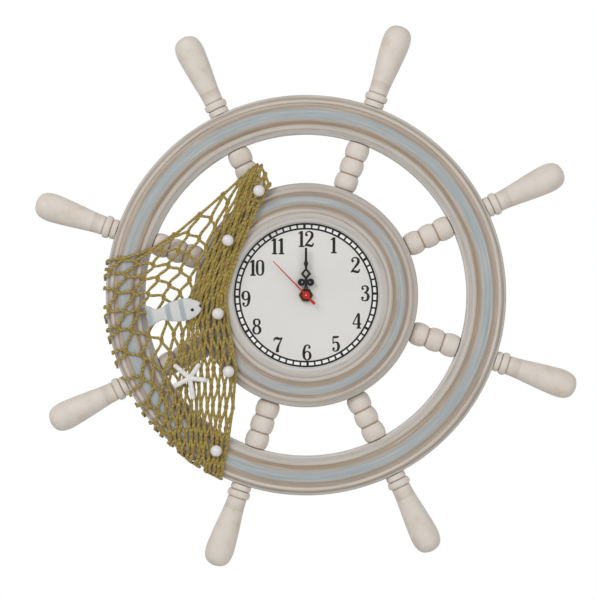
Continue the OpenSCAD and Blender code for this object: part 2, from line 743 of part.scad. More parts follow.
// The net is a diamond mesh of knots at whole numbers of half meshes. Its top edge runs from
// the rim's outer edge up to its tip beside the hub, its right edge down across the hub to
// the rim, and its left and bottom edges are folded over the rim's outer edge.
net_cols = 12;
net_rows = 10;
net_top = [[-172, 31], [-147, 37], [-126, 49], [-98, 68], [-74, 87], [-56, 104], [-41, 114]];
net_right = [[-41, 114], [-35, 95], [-52.5, 55], [-65, 20], [-72, -14], [-65.5, -50],
  [-66.5, -92], [-69.5, -125], [-74.5, -164]];
net_corner_turn = 27;
net_left_turn = -net_turn(net_top[0]);
net_bottom_turn = net_turn(net_right[len(net_right) - 1]);
twine_r = twine_d / 2;
net_gap = soft_gap + twine_r;

// Angle below the left of a point on the face
function net_turn(p) = atan2(-p[1], -p[0]);

// A point at share u along a chain of points
function along(chain, u) =
  let (q = min(max(u, 0), 0.99999) * (len(chain) - 1), k = floor(q))
  chain[k] + (q - k) * (chain[k + 1] - chain[k]);

// Length of the fold at an angle below the left: it is short over the handle in its way
handle_turn = 270 - spoke_turn(6);
handle_room = atan((handle_shape[1][1] * handle_d / 2 + net_gap + knot_w) / rim_r);
handle_ease = 4;
short_wrap = 2;
function wrap_at(a) =
  let (q = min(max((abs(a - handle_turn) - handle_room) / handle_ease, 0), 1))
  short_wrap + (wrap_l - short_wrap) * (1 - cos(180 * q)) / 2;

// A point of the folded edges, at an angle below the left
function edge_point(a) = (rim_r + wrap_l) * [-cos(a), -sin(a)];
function net_left(v) = edge_point(-net_left_turn + v * (net_corner_turn + net_left_turn));
function net_bottom(u) =
  edge_point(net_corner_turn + u * (net_bottom_turn - net_corner_turn));

// The corners of the net, where its edges meet
function top_edge(u) = u <= 0 ? net_left(0) : along(concat([net_left(0)], net_top), u);
function right_edge(v) = v >= 1 ? net_bottom(1) : along(concat(net_right, [net_bottom(1)]), v);

// Share of the width where half of the meshes lie: they are gathered to the right at the top
function open_share(v) = 0.84 - 0.34 * pow(max(v, 0), 1.6);
function gather(s, v) =
  s < 0.5 ? 2 * s * open_share(v) : open_share(v) + (2 * s - 1) * (1 - open_share(v));

// A point of the flat net, blended between its four edges
function flat_point(i, j) =
  let (v = j / (2 * net_rows), u = gather(i / (2 * net_cols), v))
  (1 - v) * top_edge(u) + v * net_bottom(u) + (1 - u) * net_left(v) + u * right_edge(v)
    - (1 - u) * (1 - v) * net_left(0) - u * (1 - v) * top_edge(1)
    - (1 - u) * v * net_bottom(0) - u * v * net_bottom(1);

// The flat net, drawn in where the fold is short: the meshes on the rim share the room
function drawn_point(p) =
  let (r = norm(p), share = (rim_r + wrap_at(net_turn(p)) - rim_in) / (rim_r + wrap_l - rim_in))
  r <= rim_in ? p : p * (rim_in + (r - rim_in) * share) / r;

// Height of the net where it lies over the hub, spans to the rim and lies on the rim
function net_height(r) =
  let (hub_z = hub_t + net_gap, rim_z = rim_front + net_gap, r0 = hub_r - 3, r1 = rim_in + 4)
  r < r0 ? hub_z : r > r1 ? rim_z : hub_z + (rim_z - hub_z) * (r - r0) / (r1 - r0);

// A point of the draped net: past the rim's edge it turns down over a small round corner
fold_r = 3;
function drape(p) =
  let (r = norm(p), r0 = rim_r + net_gap - fold_r, over = r - r0, turn = fold_r * PI / 2,
    z = net_height(r), d = p / r)
  over <= 0 ? [p[0], p[1], z]
  : over < turn ? let (a = over / fold_r * 180 / PI)
      [d[0] * (r0 + fold_r * sin(a)), d[1] * (r0 + fold_r * sin(a)), z - fold_r * (1 - cos(a))]
  : [d[0] * (r0 + fold_r), d[1] * (r0 + fold_r), z - fold_r - (over - turn)];

// Height that the gathered part adds, in folds of four half meshes
function fold_lift(i, j) =
  let (s = (i / (2 * net_cols) - 0.5) * 4, v = j / (2 * net_rows))
  fold_h * min(max(s, 0), 1) * (1 - v) * (1 + sin(90 * i));
function net_point(i, j) = drape(drawn_point(flat_point(i, j))) + [0, 0, fold_lift(i, j)];

function unit(v) = v / norm(v);
// Directions of the mesh at a place: across, down and out of it
function across(i, j) = net_point(i + 0.5, j) - net_point(i - 0.5, j);
function down(i, j) = net_point(i, j + 0.5) - net_point(i, j - 0.5);
function out(i, j) = unit(cross(down(i, j), across(i, j)));

// The six points of a knot: front, back, right, left, lower and upper
function knot_points(i, j) =
  let (p = net_point(i, j), e = across(i, j), s = down(i, j), n = out(i, j),
    w = min(knot_w, 0.36 * norm(e)), h = min(knot_w, 0.3 * norm(s)))
  [p + n * twine_r * 1.25, p - n * twine_r, p + unit(e) * w, p - unit(e) * w,
   p + unit(s) * h, p - unit(s) * h];

// The four points around a strand's middle, for a strand that runs down to the side t
function strand_points(i, j, t) =
  let (p = net_point(i + 0.5, j + 0.5), n = out(i + 0.5, j + 0.5),
    a = net_point(i + (t > 0 ? 0 : 1), j), b = net_point(i + (t > 0 ? 1 : 0), j + 1),
    q = unit(cross(n, b - a)) * (across(i + 0.5, j + 0.5) * cross(n, b - a) > 0 ? 1 : -1),
    w = min(twine_r * 0.9, 0.3 * norm(across(i + 0.5, j + 0.5))))
  [p + n * twine_r * 0.9, p + q * w, p - n * twine_r * 0.9, p - q * w];

cols = 2 * net_cols;
rows = 2 * net_rows;
function knot_index(i, j) =
  floor(j / 2) * (cols + 1) + (j % 2 == 1 ? net_cols + 1 : 0) + floor(i / 2);
knot_count = net_rows * (cols + 1) + net_cols + 1;
function knot(i, j, c) = 6 * knot_index(i, j) + c;
function mid(i, j, c) = 6 * knot_count + 4 * (j * cols + i) + c;

// The triangles between two rings of four points
function tube(a, b) = [for (k = [0 : 3]) let (n = (k + 1) % 4)
  each [[a[k], b[n], b[k]], [a[k], a[n], b[n]]]];

// Rings of the ports by which a strand leaves the knot above it and enters the one below
function port_down(i, j, t) = [knot(i, j, 0), knot(i, j, t > 0 ? 2 : 4), knot(i, j, 1),
  knot(i, j, t > 0 ? 4 : 3)];
function port_up(i, j, t) = [knot(i, j, 0), knot(i, j, t > 0 ? 5 : 2), knot(i, j, 1),
  knot(i, j, t > 0 ? 3 : 5)];
function mid_ring(i, j) = [for (c = [0 : 3]) mid(i, j, c)];

// Triangles that close a knot's port where the net ends
function closed(p) = [[p[0], p[1], p[3]], [p[1], p[2], p[3]]];
function flipped(f) = [for (t = f) [t[2], t[1], t[0]]];

function net_points() = concat(
  [for (j = [0 : rows], i = [j % 2 : 2 : cols]) each knot_points(i, j)],
  [for (j = [0 : rows - 1], i = [0 : cols - 1])
    each strand_points(i, j, (i + j) % 2 == 0 ? 1 : -1)]
);
function net_faces() = [
  for (j = [0 : rows - 1], i = [0 : cols - 1])
    let (t = (i + j) % 2 == 0 ? 1 : -1, a = t > 0 ? i : i + 1, b = t > 0 ? i + 1 : i)
    each concat(tube(port_down(a, j, t), mid_ring(i, j)),
      tube(mid_ring(i, j), port_up(b, j + 1, t))),
  for (j = [0 : rows], i = [j % 2 : 2 : cols])
    each concat(
      i == cols || j == rows ? closed(port_down(i, j, 1)) : [],
      i == 0 || j == rows ? closed(port_down(i, j, -1)) : [],
      i == 0 || j == 0 ? flipped(closed(port_up(i, j, 1))) : [],
      i == cols || j == 0 ? flipped(closed(port_up(i, j, -1))) : [])
];

module net() color([0.60, 0.53, 0.26]) hang()
  polyhedron(points = net_points(), faces = net_faces());

// Height above which the net never reaches at a place on the face, on its folds or beside them
net_span = net_top[len(net_top) - 1][1] - net_right[len(net_right) - 1][1];
function over_net(p, folds) =
  drape(p)[2] + twine_r * 1.25 + soft_gap
    + (folds ? 2 * fold_h * (1 - (net_right[0][1] - p[1]) / net_span) : 0);

// Points along the front of every strand, from its upper knot over its middle to its lower one
strand_steps = 6;
function net_front() =
  [for (j = [0 : rows - 1], i = [0 : cols - 1])
    let (t = (i + j) % 2, m = strand_points(i, j, t == 0 ? 1 : -1)[0],
      a = knot_points(i + t, j)[0], b = knot_points(i + 1 - t, j + 1)[0])
    for (q = [0 : strand_steps - 1])
      each [a + (m - a) * q / strand_steps, m + (b - m) * q / strand_steps]];

// Height of the centre of a ball of radius r that lies on the net at a place on the face
function ball_height(p, r) =
  max([for (s = net_front()) let (d = norm([s[0] - p[0], s[1] - p[1]]))
    if (d < r) s[2] + sqrt(r * r - d * d)]);

// Places of the beads on the face
bead_at = [[-41.5, 92], [-69, 48.3], [-77.7, -16.4], [-68.4, -67.4], at(rim_r - 19, 210)];
module bead(k) {
  p = bead_at[k - 1];
  flat = bead_d * 0.05;
  color([0.93, 0.93, 0.92]) hang()
    translate([p[0], p[1], ball_height(p, bead_d / 2 + soft_gap)]) difference() {
      sphere(d = bead_d);
      translate([-bead_d, -bead_d, -bead_d * 1.5 + flat])
        cube([2 * bead_d, 2 * bead_d, bead_d]);
    }
}

// Outline of the fish as shares of its length, from its mouth round its belly and its tail
fish_outline = [
  [0.048, 0.014], [0.005, -0.046], [0.060, -0.105], [0.122, -0.146], [0.224, -0.186],
  [0.345, -0.198], [0.440, -0.192], [0.536, -0.172], [0.633, -0.144], [0.729, -0.112],
  [0.863, -0.146], [0.997, -0.200], [0.985, -0.070], [0.977, 0.055], [1.000, 0.196],
  [0.913, 0.162], [0.847, 0.107], [0.782, 0.094], [0.711, 0.110], [0.648, 0.127],
  [0.564, 0.162], [0.486, 0.174], [0.389, 0.187], [0.311, 0.193], [0.229, 0.177],
  [0.150, 0.144], [0.073, 0.104], [0.008, 0.048]
];
fish_nose = [-91.4, -9.4];
fish_turn = 11;
fish_slope = 7.5;
module fish() {
  color([0.90, 0.90, 0.88]) hang()
    translate([fish_nose[0], fish_nose[1], over_net(fish_nose, true) - 0.6])
      rotate([0, -fish_slope, fish_turn]) rotate([0, 0, 180]) mirror([0, 1, 0])
        linear_extrude(fish_t) polygon(fish_l * fish_outline);
}

// Arms of the starfish, as angle clockwise from the top and share of their mean length
star_at = [-102.6, -73.3];
star_arms = [[-50, 1.08], [35, 0.91], [97, 0.93], [170, 1.13], [242, 0.96]];
star_half = star_r * 0.125;
star_core = star_r * 0.22;
star_slope = 7;

// Distance from the centre to the side or the round end of an arm of length l, d degrees off
function arm_edge(d, l) =
  let (s = abs(sin(d)), c = cos(d), m = l - star_half)
  c <= 0 ? 0
  : s * m < star_half * c ? m * c + sqrt(pow(star_half, 2) - pow(m * s, 2))
  : star_half / s;

module starfish() {
  color([0.93, 0.93, 0.91]) hang()
    translate([star_at[0], star_at[1], over_net(star_at, true)]) rotate([0, -star_slope, 0])
      linear_extrude(star_t) polygon([for (a = [0 : 3 : 357])
        at(max(star_core, max([for (p = star_arms) arm_edge(a - p[0], star_r * p[1])])), a)]);
}

rim();
hub();
handle(1);  // handle_1
handle(2);  // handle_2
handle(3);  // handle_3
handle(4);  // handle_4
handle(5);  // handle_5
handle(6);  // handle_6
handle(7);  // handle_7
handle(8);  // handle_8
spoke(1);  // spoke_1
spoke(2);  // spoke_2
spoke(3);  // spoke_3
spoke(4);  // spoke_4
spoke(5);  // spoke_5
spoke(6);  // spoke_6
spoke(7);  // spoke_7
spoke(8);  // spoke_8
dial_board();
dial_print();
dial_screws();
hanger_plate();
hanger_screws();
case_front();
case_back();
middle_plate();
rubber_pad();
dial_washer();
hex_nut();
hour_wheel();
hour_hand();
minute_arbor();
minute_hand();
minute_wheel();
set_knob();
centre_wheel();
third_wheel();
seconds_wheel();
second_hand();
intermediate_wheel();
rotor();
stator();
coil_core();
coil();
circuit_board();
quartz_crystal();
contact(1);  // contact_plus
contact(-1);  // contact_minus
battery();
net();
bead(1);  // bead_1
bead(2);  // bead_2
bead(3);  // bead_3
bead(4);  // bead_4
bead(5);  // bead_5
fish();
starfish();
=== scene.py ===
"""Looks of the ship wheel wall clock with its fishing net.

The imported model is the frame. Shapes are worked out in millimetres on the clock's face, with
x to the right, y up and z as the height in front of the wall, and stand() turns them upright
into the frame's metres.
"""

from __future__ import annotations

import logging
import math
from dataclasses import dataclass, field
from enum import Enum

import bmesh
import bpy
import numpy as np
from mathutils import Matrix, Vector


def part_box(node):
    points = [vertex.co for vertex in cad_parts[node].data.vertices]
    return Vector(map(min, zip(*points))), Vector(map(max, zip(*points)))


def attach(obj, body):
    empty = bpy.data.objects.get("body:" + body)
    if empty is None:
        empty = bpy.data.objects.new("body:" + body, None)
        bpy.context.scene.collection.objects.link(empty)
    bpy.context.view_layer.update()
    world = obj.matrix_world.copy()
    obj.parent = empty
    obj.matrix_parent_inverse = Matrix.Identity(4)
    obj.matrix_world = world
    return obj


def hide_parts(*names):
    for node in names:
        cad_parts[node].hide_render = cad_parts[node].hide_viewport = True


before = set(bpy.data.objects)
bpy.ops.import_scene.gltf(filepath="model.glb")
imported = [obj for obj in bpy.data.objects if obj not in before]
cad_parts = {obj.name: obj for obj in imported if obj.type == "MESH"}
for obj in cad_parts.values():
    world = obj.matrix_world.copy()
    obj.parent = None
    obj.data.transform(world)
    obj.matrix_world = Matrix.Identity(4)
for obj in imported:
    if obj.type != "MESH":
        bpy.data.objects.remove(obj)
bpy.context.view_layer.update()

MM = 0.001
LOG = logging.getLogger("clock")
Tree, Node, Object = bpy.types.NodeTree, bpy.types.Node, bpy.types.Object
Inputs = dict[str | int, object]


# Arrays and meshes


def stand(points: np.ndarray) -> np.ndarray:
    """Turns face millimetres upright into metres: (x, y, z) becomes (x, -z, y) / 1000."""
    p = np.asarray(points, float)
    return np.stack([p[..., 0], -p[..., 2], p[..., 1]], axis=-1) * MM


def unit(vectors: np.ndarray) -> np.ndarray:
    """Divides each vector by its length."""
    return vectors / np.maximum(np.linalg.norm(vectors, axis=-1, keepdims=True), 1e-12)


def turn(count: int) -> np.ndarray:
    """Equal angles of a full turn, in radians."""
    return np.linspace(0, 2 * np.pi, count, endpoint=False)


def clock_point(radius: np.ndarray, degrees: np.ndarray) -> np.ndarray:
    """A point of the face: (r sin a, r cos a), with a clockwise from the top."""
    a = np.radians(degrees)
    return np.stack([radius * np.sin(a), radius * np.cos(a)], axis=-1)


def cubic(
    t: np.ndarray, a: np.ndarray, b: np.ndarray, leave: np.ndarray, reach: np.ndarray
) -> np.ndarray:
    """Cubics from a to b at the shares t, which leave a and reach b by the given slopes."""
    start = (2 * t**3 - 3 * t**2 + 1) * a + (t**3 - 2 * t**2 + t) * leave
    return start + (3 * t**2 - 2 * t**3) * b + (t**3 - t**2) * reach


def smooth_chain(knots: np.ndarray, steps: int) -> np.ndarray:
    """Draws one smooth curve through knots, as cubics whose end slopes are half the chord of
    the knots on either side.

    Args:
        knots: Points in order, as rows.
        steps: Points drawn for each span.

    Returns:
        The curve's points, from the first knot to the last.
    """
    p = np.asarray(knots, float)
    before = np.vstack([2 * p[0] - p[1], p[:-1]])
    after = np.vstack([p[1:], 2 * p[-1] - p[-2]])
    slope = (after - before)[:, None] / 2
    t = (np.arange(steps) / steps)[None, :, None]
    curve = cubic(t, p[:-1, None], p[1:, None], slope[:-1], slope[1:])
    return np.vstack([curve.reshape(-1, p.shape[1]), p[-1:]])


def bulge(r0: float, r1: float, z: float, h: float) -> np.ndarray:
    """A rounded moulding from r0 to r1 that stands h above z, as half an ellipse."""
    a = np.linspace(0, np.pi, 13)
    return np.stack([(r0 + r1) / 2 - (r1 - r0) / 2 * np.cos(a), z + h * np.sin(a)], axis=-1)


def ball(rows: int, turns: int) -> np.ndarray:
    """A ball of radius 1: (sin p cos q, sin p sin q, cos p)."""
    p, q = np.linspace(0, np.pi, rows)[:, None], turn(turns)[None, :]
    return np.stack([np.sin(p) * np.cos(q), np.sin(p) * np.sin(q), np.cos(p) + 0 * q], axis=-1)


def ribbon(left: np.ndarray, right: np.ndarray, low: float, top: float) -> np.ndarray:
    """A flat band between two lines and two heights: four corners for each of their points."""
    rows = [(left, low), (right, low), (right, top), (left, top)]
    return np.stack([np.column_stack([line, np.full(len(line), z)]) for line, z in rows], axis=1)


def show(name: str, data: bpy.types.ID) -> Object:
    """Puts a new object into the scene.

    Args:
        name: Its name.
        data: Its mesh, lamp or camera.

    Returns:
        The object, at the origin.
    """
    obj = bpy.data.objects.new(name, data)
    bpy.context.scene.collection.objects.link(obj)
    return obj


class Ends(Enum):
    """How the rows of a grid end."""

    OPEN = "open"
    RING = "ring"
    CAPPED = "capped"


class Sewing:
    """Collects grids of points into one mesh with a length-and-turn UV map and a tone."""

    def __init__(self, name: str) -> None:
        """Starts an empty piece.

        Args:
            name: Its object's name.
        """
        self.name, self.count = name, 0
        self.faces: list[list[int]] = []
        self.points: list[np.ndarray] = []
        self.tones: list[np.ndarray] = []
        self.corners: list[np.ndarray] = []

    def grid(
        self, points: np.ndarray, ends: Ends = Ends.OPEN, uv: np.ndarray | None = None,
        tone: np.ndarray | float = 0.0,
    ) -> Sewing:
        """Adds many grids of the same size at once. The last column always joins the first.

        Args:
            points: Face points, as (grids, rows, columns, 3) or (rows, columns, 3).
            ends: Whether the last row joins the first, or both end rows get a flat face.
            uv: One (u, v) for each point and the seam's extra column, or None.
            tone: One number for each point, or what broadcasts to that.

        Returns:
            The piece itself.
        """
        p = points if points.ndim == 4 else points[None]
        n, rows, cols, _ = p.shape
        last = rows if ends is Ends.RING else rows - 1
        i, j = (x.ravel() for x in np.meshgrid(np.arange(last), np.arange(cols), indexing="ij"))
        corner_i = np.stack([i, i, i + 1, i + 1], axis=-1)
        corner_j = np.stack([j, j + 1, j + 1, j], axis=-1)
        base = self.count + np.arange(n)[:, None, None] * rows * cols
        quads = base + ((corner_i % rows) * cols + corner_j % cols)[None]
        if uv is None:
            u, v = np.arange(rows) / rows, np.arange(cols + 1) / cols
            uv = np.stack(np.meshgrid(u, v, indexing="ij"), axis=-1)
        uv = np.broadcast_to(uv, (n, rows, cols + 1, 2))
        self.faces += quads.reshape(-1, 4).tolist()
        self.corners.append(uv[:, corner_i % rows, corner_j].reshape(-1, 2))
        for row in (0, rows - 1) if ends is Ends.CAPPED else ():
            self.faces += (base[:, 0] + row * cols + np.arange(cols)[None]).tolist()
            self.corners.append(uv[:, row, :cols].reshape(-1, 2))
        self.points.append(stand(p).reshape(-1, 3))
        self.tones.append(np.broadcast_to(tone, p.shape[:3]).reshape(-1))
        self.count += n * rows * cols
        return self

    def make(self, sharp: float = 40) -> Object:
        """Makes the object: merges poles, turns faces outwards and shades it.

        Args:
            sharp: Angle in degrees past which an edge stays sharp.

        Returns:
            The new object.
        """
        mesh = bpy.data.meshes.new(self.name)
        mesh.from_pydata(np.vstack(self.points).tolist(), [], self.faces)
        layer = mesh.uv_layers.new(name="UVMap")
        layer.data.foreach_set("uv", np.vstack(self.corners).astype(np.float32).ravel())
        tone = mesh.attributes.new("tone", "FLOAT", "POINT")
        tone.data.foreach_set("value", np.concatenate(self.tones).astype(np.float32))
        work = bmesh.new()
        work.from_mesh(mesh)
        bmesh.ops.remove_doubles(work, verts=work.verts, dist=1e-7)
        bmesh.ops.recalc_face_normals(work, faces=work.faces)
        work.to_mesh(mesh)
        work.free()
        mesh.shade_smooth()
        mesh.set_sharp_from_angle(angle=math.radians(sharp))
        return show(self.name, mesh)

    def place(
        self, finish: Finish, body: str, slot: str, nodes: tuple[str, ...] = (), sharp: float = 40
    ) -> Object:
        """Makes the piece, dresses it and hangs it on its body.

        Args:
            finish: The finish of the whole piece.
            body: The body that the piece rides on.
            slot: The record's material slot; not used.
            nodes: The CAD nodes that the piece stands for.
            sharp: Angle in degrees past which an edge stays sharp.

        Returns:
            The new object.
        """
        obj = self.make(sharp)
        obj.data.materials.append(finish.material())
        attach(obj, body)
        if nodes:
            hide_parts(*nodes)
        LOG.info("%s: %d faces, %s", obj.name, len(obj.data.polygons), finish.name)
        return obj


def cut_out(obj: Object, cutter: Sewing) -> None:
    """Takes the cutter's volume out of an object's mesh.

    Args:
        obj: The object to cut.
        cutter: Closed shells, which are used up.
    """
    tool = cutter.make()
    mod = obj.modifiers.new("holes", "BOOLEAN")
    mod.operation, mod.object, mod.solver = "DIFFERENCE", tool, "EXACT"
    bpy.context.view_layer.update()
    ready = obj.evaluated_get(bpy.context.evaluated_depsgraph_get())
    cut = bpy.data.meshes.new_from_object(ready)
    obj.modifiers.clear()
    obj.data = cut
    bpy.data.objects.remove(tool)


# Finishes


def srgb(code: str) -> tuple[float, float, float, float]:
    """Turns an sRGB hex colour into linear light.

    Args:
        code: The colour, as #RRGGBB.

    Returns:
        Linear red, green, blue and full alpha.
    """
    c = np.array([int(code[k : k + 2], 16) for k in (1, 3, 5)]) / 255
    low, high = c / 12.92, ((c + 0.055) / 1.055) ** 2.4
    return (*np.where(c <= 0.04045, low, high).tolist(), 1.0)


def feed(tree: Tree, node: Node, inputs: Inputs) -> None:
    """Sets or links a node's inputs.

    Args:
        tree: The tree that the node is in.
        node: The node.
        inputs: Input name or number to a value, an sRGB hex colour, or the output that
            feeds it, where a node stands for its first output.
    """
    for key, value in inputs.items():
        source = value.outputs[0] if isinstance(value, Node) else value
        if isinstance(source, bpy.types.NodeSocket):
            tree.links.new(source, node.inputs[key])
        else:
            node.inputs[key].default_value = srgb(value) if isinstance(value, str) else value


def add(
    tree: Tree, kind: str, inputs: Inputs | None = None, stops: tuple = (), **settings: object
) -> Node:
    """Adds a node with its settings, inputs and colour stops.

    Args:
        tree: The tree that gets it.
        kind: The node's type, without its first words.
        inputs: What it is fed, as feed() takes it.
        stops: Pairs of position and sRGB hex colour in order, for a colour ramp.
        **settings: Attributes of the node.

    Returns:
        The node.
    """
    node = tree.nodes.new("ShaderNode" + kind)
    for key, value in settings.items():
        setattr(node, key, value)
    feed(tree, node, inputs or {})
    for k, (position, code) in enumerate(stops):
        element = node.color_ramp.elements
        stop = element[k] if k < 2 else element.new(position)
        stop.position, stop.color = position, srgb(code)
    return node


@dataclass(frozen=True)
class Finish:
    """What a surface is made of and how it was finished."""

    name: str
    colour: str
    roughness: float = 0.5
    metallic: float = 0.0
    ior: float = 1.5

    def material(self) -> bpy.types.Material:
        """Makes the material once.

        Returns:
            The material.
        """
        known = bpy.data.materials.get(self.name)
        if known:
            return known
        made = bpy.data.materials.new(self.name)
        made.use_nodes = True
        tree = made.node_tree
        tree.nodes.clear()
        shader = add(tree, "BsdfPrincipled", {
            "Base Color": self.colour, "Roughness": self.roughness, "Metallic": self.metallic,
            "IOR": self.ior})
        add(tree, "OutputMaterial", {"Surface": shader})
        feed(tree, shader, self.dress(tree))
        return made

    def dress(self, tree: Tree) -> Inputs:
        """Adds the surface's own detail, and returns what the shader is fed."""
        raise NotImplementedError


@dataclass(frozen=True)
class RingPaint(Finish):
    """Wash paint brushed along a turned wooden ring in bands, rubbed through in streaks, with
    painted light and painted shade of the mouldings in some of the bands.
    Lengths are in millimetres."""

    # Radius and colour: paint bands, with painted light and painted shade of the mouldings among
    # them
    rings: tuple[tuple[float, str], ...] = ()
    back: str = "#C9BFB2"
    worn: str = "#CFC6BB"
    dirt: str = "#8F8578"
    streak_l: float = 60
    streak_w: float = 1.8
    patch: float = 26
    wander: float = 0.5
    back_from: float = -6
    back_to: float = -3.5

    def dress(self, tree: Tree) -> Inputs:
        """Bands by the radius, which wanders by half a millimetre, and streaks that run along
        the ring: noise read at the ring's direction stretched by radius over streak length,
        and at the radius divided by the streak width.

        Args:
            tree: The material's tree.

        Returns:
            What the shader is fed.
        """
        low, high = self.rings[0][0], self.rings[-1][0]
        place = add(tree, "TexCoord").outputs["Object"]
        xyz = add(tree, "SeparateXYZ", {0: place}).outputs
        flat = add(tree, "CombineXYZ", {"X": xyz["X"], "Z": xyz["Z"]})
        radius = add(tree, "VectorMath", {0: flat}, operation="LENGTH").outputs["Value"]
        way = add(tree, "VectorMath", {0: flat}, operation="NORMALIZE")
        arc = add(tree, "VectorMath", {0: way, "Scale": high / self.streak_l}, operation="SCALE")
        across = add(tree, "Math", {0: radius, 1: 1 / (self.streak_w * MM)}, operation="MULTIPLY")
        lift = add(tree, "CombineXYZ", {"Y": across})
        where = add(tree, "VectorMath", {0: arc, 1: lift}, operation="ADD")
        streaks = add(tree, "TexNoise", {
            "Vector": where, "Scale": 1.0, "Detail": 4.0, "Roughness": 0.62})
        patches = add(tree, "TexNoise", {
            "Vector": place, "Scale": 1 / (self.patch * MM), "Detail": 3.0})
        start = add(tree, "Math", {0: radius, 1: self.wander * MM}, operation="SUBTRACT")
        drifted = add(tree, "Math", {0: patches, 1: 2 * self.wander * MM, 2: start},
                      operation="MULTIPLY_ADD")
        share = add(tree, "MapRange", {
            "Value": drifted, "From Min": low * MM, "From Max": high * MM})
        # Stops of paint and worn paint, and of painted light and painted shade
        stops = tuple(((r - low) / (high - low), code) for r, code in self.rings)
        paint = add(tree, "ValToRGB", {0: share}, stops).outputs[0]
        rub = add(tree, "MapRange", {
            "Value": streaks, "From Min": 0.52, "From Max": 0.74, "To Max": 0.6})
        grime = add(tree, "MapRange", {
            "Value": streaks, "From Min": 0.46, "From Max": 0.28, "To Max": 0.55})
        behind = add(tree, "MapRange", {
            "Value": xyz["Y"], "From Min": self.back_from * MM, "From Max": self.back_to * MM})
        for amount, colour in ((rub, self.worn), (grime, self.dirt), (behind, self.back)):
            paint = add(tree, "Mix", {0: amount, 6: paint, 7: colour}, data_type="RGBA").outputs[2]
        rough = add(tree, "MapRange", {
            "Value": streaks, "To Min": self.roughness + 0.12, "To Max": self.roughness - 0.12})
        bump = add(tree, "Bump", {"Height": streaks, "Strength": 0.35, "Distance": 0.3 * MM})
        return {"Base Color": paint, "Roughness": rough, "Normal": bump}


@dataclass(frozen=True)
class Whitewash(Finish):
    """Thin white wash over turned wood: tan shows through in soft patches, brown specks are bare,
    and the grooves are darker, partly dark wood and dirt and partly painted shade. Lengths are in
    millimetres."""

    tan: str = "#D0C2B4"
    light: str = "#DBD3CB"
    speck: str = "#9A7F66"
    # Dark wood and dirt in the grooves, and painted shade there
    groove: str = "#93755D"
    patch: float = 13
    mark: float = 1.6

    def dress(self, tree: Tree) -> Inputs:
        """Noise for the patches, finer noise for brush marks, whose peaks are the specks, and the
        tone of the mesh for the grooves, which darkens them with dark wood and dirt and with
        painted shade.

        Args:
            tree: The material's tree.

        Returns:
            What the shader is fed.
        """
        place = add(tree, "TexCoord").outputs["Object"]
        patches = add(tree, "TexNoise", {
            "Vector": place, "Scale": 1 / (self.patch * MM), "Detail": 5.0, "Roughness": 0.62})
        wash = add(tree, "ValToRGB", {0: patches},
                   ((0.30, self.tan), (0.46, self.colour), (0.72, self.light)))
        marks = add(tree, "TexNoise", {
            "Vector": place, "Scale": 1 / (self.mark * MM), "Detail": 3.0})
        bare = add(tree, "MapRange", {
            "Value": marks, "From Min": 0.68, "From Max": 0.74, "To Max": 0.8})
        specked = add(tree, "Mix", {0: bare, 6: wash, 7: self.speck}, data_type="RGBA")
        # Grooves darkened: dark wood and dirt, and painted shade in them
        tone = add(tree, "Attribute", attribute_name="tone").outputs["Fac"]
        deep = add(tree, "MapRange", {"Value": tone, "To Max": 0.85})
        groove_wood_and_shade = add(tree, "Mix", {0: deep, 6: specked.outputs[2], 7: self.groove},
                      data_type="RGBA").outputs[2]
        bump = add(tree, "Bump", {"Height": marks, "Strength": 0.3, "Distance": 0.25 * MM})
        return {"Base Color": groove_wood_and_shade, "Normal": bump}


@dataclass(frozen=True)
class Grained(Finish):
    """A plain material whose colour drifts in soft patches and whose surface has a grain:
    moulded plastic, rubber, card, enamel, plated metal or cast resin. Lengths are in
    millimetres."""

    second: str = "#808080"
    patch: float = 12
    grain: float = 0.6
    depth: float = 0.03
    spread: float = 0.1
    coat: float = 0.0

    def dress(self, tree: Tree) -> Inputs:
        """Patches mix both colours and move the roughness, and the grain is a bump.

        Args:
            tree: The material's tree.

        Returns:
            What the shader is fed.
        """
        place = add(tree, "TexCoord").outputs["Object"]
        patches = add(tree, "TexNoise", {
            "Vector": place, "Scale": 1 / (self.patch * MM), "Detail": 4.0})
        share = add(tree, "MapRange", {"Value": patches, "From Min": 0.35, "From Max": 0.7})
        colour = add(tree, "Mix", {0: share, 6: self.colour, 7: self.second}, data_type="RGBA")
        rough = add(tree, "MapRange", {
            "Value": patches, "To Min": self.roughness - self.spread,
            "To Max": self.roughness + self.spread})
        grain = add(tree, "TexNoise", {
            "Vector": place, "Scale": 1 / (self.grain * MM), "Detail": 3.0})
        bump = add(tree, "Bump", {"Height": grain, "Strength": 0.5, "Distance": self.depth * MM})
        return {"Base Color": colour.outputs[2], "Roughness": rough, "Normal": bump,
                "Coat Weight": self.coat}


